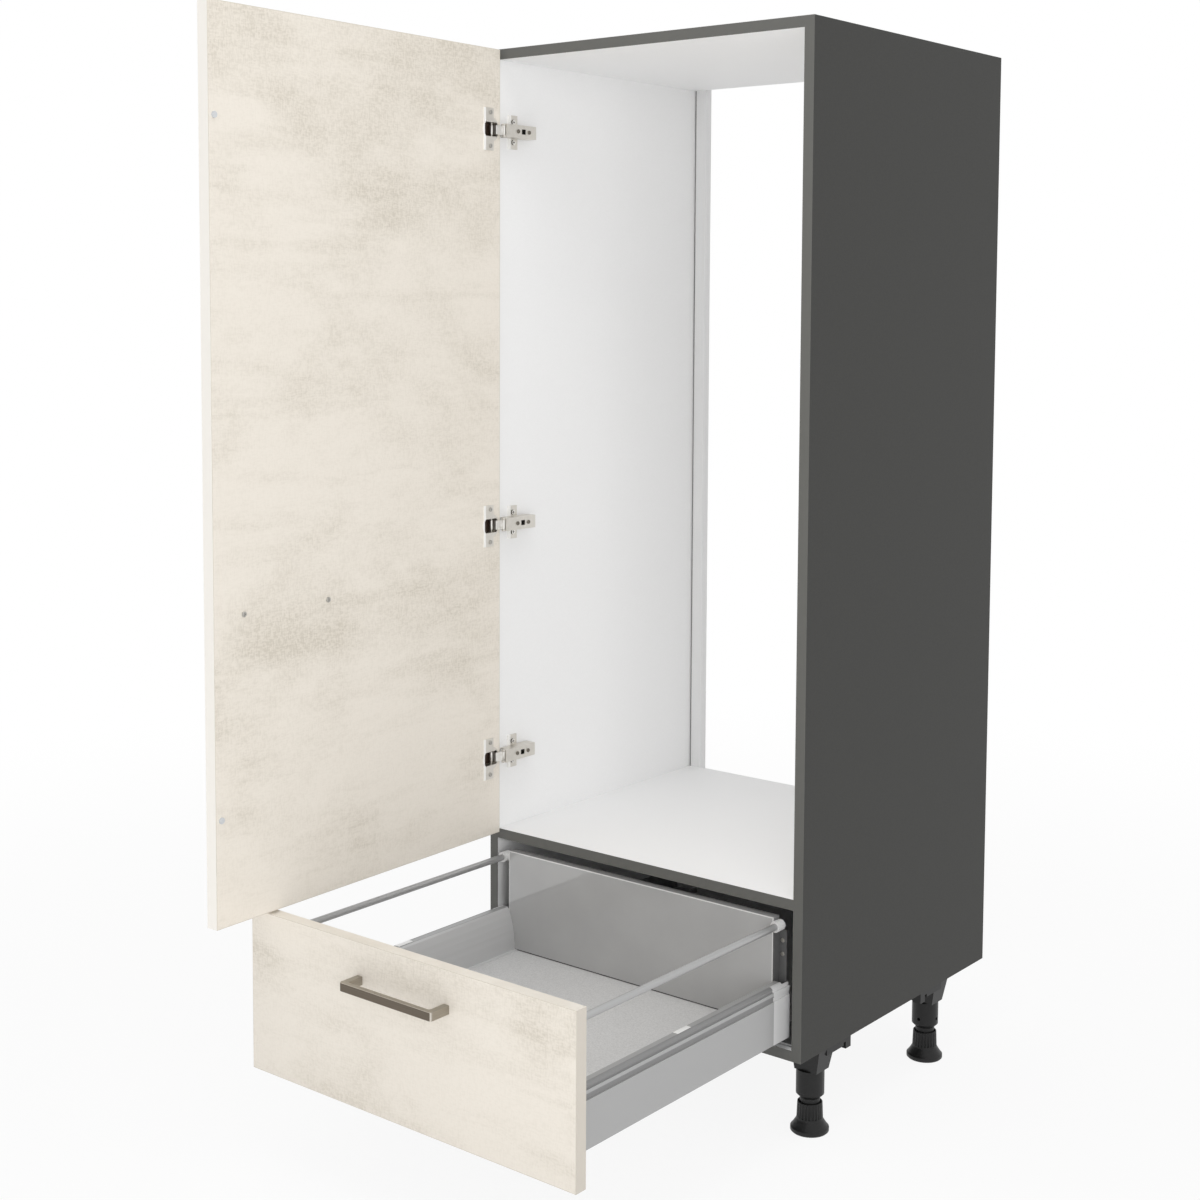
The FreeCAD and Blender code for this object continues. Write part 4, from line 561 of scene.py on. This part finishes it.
def solids_of(name):
    """The points of each separate solid of a CAD node, read from a merged copy that is then deleted."""
    bpy.ops.object.select_all(action="DESELECT")
    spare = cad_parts[name].copy()
    spare.data = spare.data.copy()
    bpy.context.scene.collection.objects.link(spare)
    bpy.context.view_layer.objects.active = spare
    spare.select_set(True)
    bpy.ops.object.mode_set(mode="EDIT")
    bpy.ops.mesh.select_all(action="SELECT")
    bpy.ops.mesh.remove_doubles(threshold=WELD_MM * MM)
    bpy.ops.mesh.separate(type="LOOSE")
    bpy.ops.object.mode_set(mode="OBJECT")
    found = [[point.co.copy() for point in part.data.vertices] for part in bpy.context.selected_objects]
    bpy.ops.object.delete()
    return sorted(found, key=lambda points: tuple(sum(points, Vector()) / len(points)))


print("plain screws in the hinge plates:", len(solids_of("hinge_plate_screws")))

# %% Selecting faces and cutting
import bmesh


def select_faces(piece, test):
    """Selects in edit mode the faces whose normal passes a test."""
    bpy.ops.mesh.select_mode(type="FACE")
    bpy.ops.mesh.select_all(action="DESELECT")
    mesh = bmesh.from_edit_mesh(piece.data)
    for face in mesh.faces:
        face.select_set(test(face.normal))
    bmesh.update_edit_mesh(piece.data)


def cut(piece, tool):
    """Takes the tool's shape out of a piece and deletes the tool."""
    bpy.context.view_layer.objects.active = piece
    boolean = piece.modifiers.new("cut", "BOOLEAN")
    boolean.operation, boolean.solver, boolean.object = "DIFFERENCE", "EXACT", tool
    bpy.ops.object.modifier_apply(modifier=boolean.name)
    bpy.data.objects.remove(tool)


# %% One screw
HEAD_MM, RIM_MM, RECESS_MM, POINT_MM = 1.5, 0.5, 1.0, 2.5
SLOT_LENGTH, SLOT_WIDTH, POINT_WIDTH = 1.25, 0.3, 0.25
SCREW_SIDES, RIM_STEPS = 24, 3
# A face is a top or an underside where its normal's Z is past this.
UPRIGHT_NORMAL = 0.9


def one_screw(head, shank, length):
    """A screw of those millimetres: the middle of its head's top is at the origin and it points down."""
    bpy.ops.object.select_all(action="DESELECT")
    bpy.ops.mesh.primitive_cylinder_add(vertices=SCREW_SIDES, radius=head * MM, depth=HEAD_MM * MM,
                                        location=(0.0, 0.0, -HEAD_MM / 2 * MM))
    bpy.ops.object.transform_apply()
    screw = bpy.context.object
    bpy.ops.object.mode_set(mode="EDIT")
    select_faces(screw, lambda normal: normal.z > UPRIGHT_NORMAL)
    bpy.ops.mesh.bevel(offset=RIM_MM * MM, segments=RIM_STEPS, affect="EDGES")
    select_faces(screw, lambda normal: normal.z < -UPRIGHT_NORMAL)
    bpy.ops.mesh.inset(thickness=(head - shank) * MM)
    for drop, narrowing in ((length - HEAD_MM - POINT_MM, 1.0), (POINT_MM, POINT_WIDTH)):
        bpy.ops.mesh.extrude_region_move(TRANSFORM_OT_translate={"value": (0.0, 0.0, -drop * MM)})
        bpy.ops.transform.resize(value=(narrowing, narrowing, 1.0), center_override=(0.0, 0.0, 0.0))
    bpy.ops.object.mode_set(mode="OBJECT")
    slot = (head * SLOT_LENGTH * MM, head * SLOT_WIDTH * MM, 2 * RECESS_MM * MM)
    for turn in (0.0, math.pi / 2):
        bpy.ops.mesh.primitive_cube_add(size=1.0, rotation=(0.0, 0.0, turn), scale=slot)
        cut(screw, bpy.context.object)
    return screw


# %% The kinds of screw: way out, radii of head and shank, body and finish
DOOR_OPEN = math.radians(88)
DOOR_OUT = (math.sin(DOOR_OPEN), math.cos(DOOR_OPEN), 0.0)
SCREWS = [("hinge_plate_screws", (1, 0, 0), 4.0, 2.4, "carcass", shade_rimmed_nickel),
          ("hinge_arm_screws", (1, 0, 0), 3.2, 2.0, "carcass", darker_zinc),
          ("hinge_cup_screws", DOOR_OUT, 3.4, 1.9, "door", zinc),
          ("door_handle_screws", DOOR_OUT, 4.0, 2.0, "door", zinc),
          ("drawer_handle_screws", (0, 1, 0), 4.0, 2.0, "drawer", zinc),
          ("back_bracket_screws", (0, -1, 0), 3.2, 1.8, "drawer", zinc),
          ("cabinet_rail_screws", None, 3.5, 2.2, "carcass", zinc),
          ("foot_socket_screws", (0, 0, -1), 3.6, 2.0, "carcass", zinc)]
print(len(SCREWS), "kinds of screw")

# %% All screws
SMOOTH_UNDER = math.radians(35)
for name, out, head, shank, body, finish in SCREWS:
    placed, master = [], None
    for points in solids_of(name):
        # Those of the cabinet rails face inwards, so their way out differs from side to side.
        away = Vector(out) if out else Vector((-math.copysign(1.0, points[0].x), 0.0, 0.0))
        turn = away.to_track_quat("Z", "Y").to_matrix()
        reaches = [[point.dot(axis) for point in points] for axis in turn.col]
        spans = [(min(reach), max(reach)) for reach in reaches]
        master = master or one_screw(head, shank, (spans[2][1] - spans[2][0]) / MM)
        screw = master.copy()
        screw.data = master.data.copy()
        bpy.context.scene.collection.objects.link(screw)
        top = turn @ Vector((sum(spans[0]) / 2, sum(spans[1]) / 2, spans[2][1]))
        screw.matrix_world = Matrix.Translation(top) @ turn.to_4x4()
        placed.append(screw)
    bpy.data.objects.remove(master)
    bpy.ops.object.select_all(action="DESELECT")
    for screw in placed:
        screw.select_set(True)
    bpy.context.view_layer.objects.active = placed[0]
    bpy.ops.object.transform_apply()
    bpy.ops.object.join()
    bpy.ops.object.shade_smooth_by_angle(angle=SMOOTH_UNDER)
    screws = bpy.context.object
    screws.name = f"crossed_{name}"
    screws.data.materials.append(finish)
    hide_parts(name)
    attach(screws, body)
    print(screws.name, len(placed), "screws,", len(screws.data.polygons), "faces")

# %% [markdown]
# ## Pressed pads on the hinge links
# Each hinge link has an oblong pad pressed out of its leaf, slightly dished.
# A box is bevelled at its upright edges, its top is inset and pushed in, and it is laid on the leaf.

# %% One pad
PAD_LONG_MM, PAD_HIGH_MM, PAD_THICK_MM = 6.5, 8.0, 0.6
PAD_ROUND_MM, PAD_RIM_MM, PAD_DISH_MM = 2.6, 0.9, 0.3
PAD_STEPS = 5
bpy.ops.object.select_all(action="DESELECT")
bpy.ops.mesh.primitive_cube_add(size=1.0, scale=(PAD_HIGH_MM * MM, PAD_LONG_MM * MM, PAD_THICK_MM * MM))
bpy.ops.object.transform_apply()
pad = bpy.context.object
bpy.ops.object.mode_set(mode="EDIT")
bpy.ops.mesh.select_mode(type="EDGE")
bpy.ops.mesh.select_all(action="DESELECT")
mesh = bmesh.from_edit_mesh(pad.data)
for edge in mesh.edges:
    edge.select_set(abs((edge.verts[0].co - edge.verts[1].co).z) > PAD_THICK_MM / 2 * MM)
bmesh.update_edit_mesh(pad.data)
bpy.ops.mesh.bevel(offset=PAD_ROUND_MM * MM, segments=PAD_STEPS, affect="EDGES")
select_faces(pad, lambda normal: normal.z > UPRIGHT_NORMAL)
bpy.ops.mesh.inset(thickness=PAD_RIM_MM * MM)
bpy.ops.transform.translate(value=(0.0, 0.0, -PAD_DISH_MM * MM))
bpy.ops.object.mode_set(mode="OBJECT")
print("one pad has", len(pad.data.polygons), "faces")

# %% A pad on each link
LEAF_MIDDLE_MM, LEAF_OUT, LEAF_HALF_MM = (-270.25, 10.25), (0.949, -0.316, 0.0), 1.0
HINGE_LEVELS_MM = {"top": 1488.0, "middle": 865.0, "bottom": 490.0}
leaf_turn = Vector(LEAF_OUT).to_track_quat("Z", "Y").to_matrix()
stand = LEAF_HALF_MM + PAD_THICK_MM / 2
for level, height in HINGE_LEVELS_MM.items():
    laid = pad.copy()
    laid.data = pad.data.copy()
    bpy.context.scene.collection.objects.link(laid)
    middle = Vector((*LEAF_MIDDLE_MM, height)) * MM + Vector(LEAF_OUT) * stand * MM
    laid.matrix_world = Matrix.Translation(middle) @ leaf_turn.to_4x4()
    bpy.ops.object.select_all(action="DESELECT")
    laid.select_set(True)
    bpy.context.view_layer.objects.active = laid
    bpy.ops.object.transform_apply()
    bpy.ops.object.shade_smooth_by_angle(angle=SMOOTH_UNDER)
    laid.name = f"hinge_link_pad_{level}"
    laid.data.materials.append(bright_nickel)
    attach(laid, "hinge_links")
bpy.data.objects.remove(pad)
print("link pads at", list(HINGE_LEVELS_MM.values()), "mm")

# %% [markdown]
# ## Caps on the drawer's ledges
# Half-way along each drawer side a small silver cap lies on the ledge and hides the fitting's screw.
# It is a thin box whose edges a Bevel rounds.

# %% Ledge caps
CAP_LONG_MM, CAP_WIDE_MM, CAP_THICK_MM, CAP_ROUND_MM = 30.0, 8.0, 1.0, 0.4
CAP_X_MM, CAP_Y_MM, CAP_Z_MM = 262.0, -216.0, LEDGE_MM + CAP_THICK_MM / 2
CAP_STEPS = 3
cap_plastic = moulded("pale_silver_plastic", "#EDEDEC", "#F5F5F4", 0.35, 2.0)
for side, sign in zip(SIDES, (-1, 1)):
    bpy.ops.object.select_all(action="DESELECT")
    bpy.ops.mesh.primitive_cube_add(size=1.0, location=(sign * CAP_X_MM * MM, CAP_Y_MM * MM, CAP_Z_MM * MM),
                                    scale=(CAP_WIDE_MM * MM, CAP_LONG_MM * MM, CAP_THICK_MM * MM))
    bpy.ops.object.transform_apply()
    cap = bpy.context.object
    rounded = cap.modifiers.new("rounded", "BEVEL")
    rounded.width, rounded.segments = CAP_ROUND_MM * MM, CAP_STEPS
    bpy.ops.object.modifier_apply(modifier=rounded.name)
    bpy.ops.object.shade_smooth_by_angle(angle=SMOOTH_UNDER)
    cap.name = f"ledge_cap_{side}"
    cap.data.materials.append(cap_plastic)
    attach(cap, "drawer")
    print(cap.name, "faces:", len(cap.data.polygons))

# %% [markdown]
# ## Softened edges
# No real edge is perfectly sharp: bands are scraped, steel is folded and plastic is moulded with a radius.
# A CAD mesh is loose triangles, so a Weld joins them first and a Bevel then takes off a thin line, which
# catches the light. Both stay live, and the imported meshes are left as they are.

# %% Weld and bevel
SHARP_OVER = math.radians(40)
SOFT_STEPS = 2


def soften(width, *names):
    """Rounds the sharp edges of CAD nodes by that many millimetres."""
    for name in names:
        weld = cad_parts[name].modifiers.new("joined", "WELD")
        weld.merge_threshold = WELD_MM * MM
        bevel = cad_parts[name].modifiers.new("softened", "BEVEL")
        bevel.limit_method, bevel.angle_limit = "ANGLE", SHARP_OVER
        bevel.segments, bevel.width = SOFT_STEPS, width * MM
    print("softened by", width, "mm:", ", ".join(names))


soften(0.4, "left_side_panel", "right_side_panel", "top_panel", "bottom_panel", "niche_shelf", "drawer_back")
soften(0.3, *[f"hinge_{part}_{level}" for part in ("arm", "cup", "link") for level in HINGES])
soften(0.5, "drawer_side_left", "drawer_side_right", *[f"foot_adjuster_{foot}" for foot in FEET])

# %% [markdown]
# ## Floor, world and lamps
# The photograph is a studio shot on white. The world is plain white wherever the camera, a reflection or
# clear glass looks at it, and a little dimmer as a light, so that the softbox still gives the object form.
# The floor does the same trick by halves: near the object it keeps part of its real shading, and with it
# the shadow, and further away it runs out into white.

# %% Floor
FLOOR_SIZE = 60.0
bpy.ops.object.select_all(action="DESELECT")
bpy.ops.mesh.primitive_plane_add(size=FLOOR_SIZE)
studio_floor = bpy.context.object
studio_floor.name = "studio_floor"


def ray_is_seen(tree):
    """1 for rays of the camera, of reflections and through clear glass, 0 for rays of light."""
    rays = node(tree, "ShaderNodeLightPath")
    seen = node(tree, "ShaderNodeMath", operation="MAXIMUM",
                links={0: rays.outputs["Is Camera Ray"], 1: rays.outputs["Is Glossy Ray"]})
    return node(tree, "ShaderNodeMath", operation="MAXIMUM",
                links={0: seen.outputs[0], 1: rays.outputs["Is Transmission Ray"]}).outputs[0]


print("floor of", FLOOR_SIZE, "m")

# %% White paper of the floor
WHITE = "#FFFFFF"
NEAR_M, FAR_M = 1.0, 3.0
NEAR_SHARE, FAR_SHARE = 0.9, 1.0
paper, tree, shader, place = new_finish("white_studio_paper", "#F4F4F4", Roughness=0.9)
away = node(tree, "ShaderNodeVectorMath", operation="LENGTH", links={0: place})
glow_share = node(tree, "ShaderNodeMapRange", links={0: away.outputs["Value"]},
                  interpolation_type="SMOOTHSTEP",
                  values={"From Min": NEAR_M, "From Max": FAR_M, "To Min": NEAR_SHARE, "To Max": FAR_SHARE})
share = node(tree, "ShaderNodeMath", operation="MULTIPLY",
             links={0: ray_is_seen(tree), 1: glow_share.outputs[0]})
glow = node(tree, "ShaderNodeEmission", values={"Color": linear(WHITE), "Strength": 1.0})
mixed = node(tree, "ShaderNodeMixShader",
             links={0: share.outputs[0], 1: shader.outputs[0], 2: glow.outputs[0]})
tree.links.new(mixed.outputs[0], tree.nodes["Material Output"].inputs["Surface"])
studio_floor.data.materials.append(paper)
print(paper.name, "runs out into white from", NEAR_M, "to", FAR_M, "m")

# %% World
WORLD_LIGHT = 0.62
world = bpy.data.worlds.new("white_studio")
bpy.context.scene.world = world
world.use_nodes = True
tree = world.node_tree
level = node(tree, "ShaderNodeMapRange", links={0: ray_is_seen(tree)},
             values={"To Min": WORLD_LIGHT, "To Max": 1.0})
tree.nodes["Background"].inputs["Color"].default_value = linear(WHITE)
tree.links.new(level.outputs[0], tree.nodes["Background"].inputs["Strength"])
print(world.name, "lights at", WORLD_LIGHT)


# %% Softboxes
def softbox(name, place, target, size, power):
    """A square area lamp that looks at a point. Nothing shows it, so the white behind it stays white."""
    lamp = bpy.data.lights.new(name, "AREA")
    lamp.size, lamp.energy = size, power
    made = bpy.data.objects.new(name, lamp)
    bpy.context.scene.collection.objects.link(made)
    made.location = place
    made.rotation_euler = (Vector(target) - Vector(place)).to_track_quat("-Z", "Y").to_euler()
    made.visible_camera = made.visible_glossy = False
    print(name, "at", place, "power", power)


softbox("key_softbox", place=(3.15, -2.55, 1.1), target=(0.0, -0.1, 0.8), size=2.4, power=48)
softbox("top_softbox", place=(0.2, -0.75, 3.3), target=(0.0, -0.35, 0.2), size=1.6, power=22)
softbox("floor_fill", place=(0.5, -2.7, 0.01), target=(0.5, -2.7, 1.0), size=4.0, power=15)

# %% [markdown]
# ## Camera
# A camera was fitted to the corners of the cabinet in the photograph: it stands three quarters of the
# unit's height up, looks down by four degrees, and its picture is moved down, as with a shift lens, so that
# upright edges stay almost upright.

# %% Camera
CAMERA_PLACE_MM = (1678.35, -2156.66, 1214.79)
CAMERA_TURN, CAMERA_DOWN, CAMERA_ROLL = 38.84, 4.32, 0.28
FOCAL_PX, IMAGE_PX, SENSOR_MM = 1837.14, 1200, 36.0
SHIFT_UP = -0.13
camera_data = bpy.data.cameras.new("photo_camera")
camera = bpy.data.objects.new("photo_camera", camera_data)
bpy.context.scene.collection.objects.link(camera)
aim = Euler((math.radians(90 - CAMERA_DOWN), 0.0, math.radians(CAMERA_TURN))).to_matrix().to_4x4()
roll = Matrix.Rotation(math.radians(CAMERA_ROLL), 4, "Z")
camera.matrix_world = Matrix.Translation(Vector(CAMERA_PLACE_MM) * MM) @ aim @ roll
camera_data.sensor_width = SENSOR_MM
camera_data.lens = FOCAL_PX / IMAGE_PX * SENSOR_MM
camera_data.shift_y = SHIFT_UP
bpy.context.scene.camera = camera
bpy.context.scene.view_settings.view_transform = "Standard"
print("lens in mm:", round(camera_data.lens, 2))
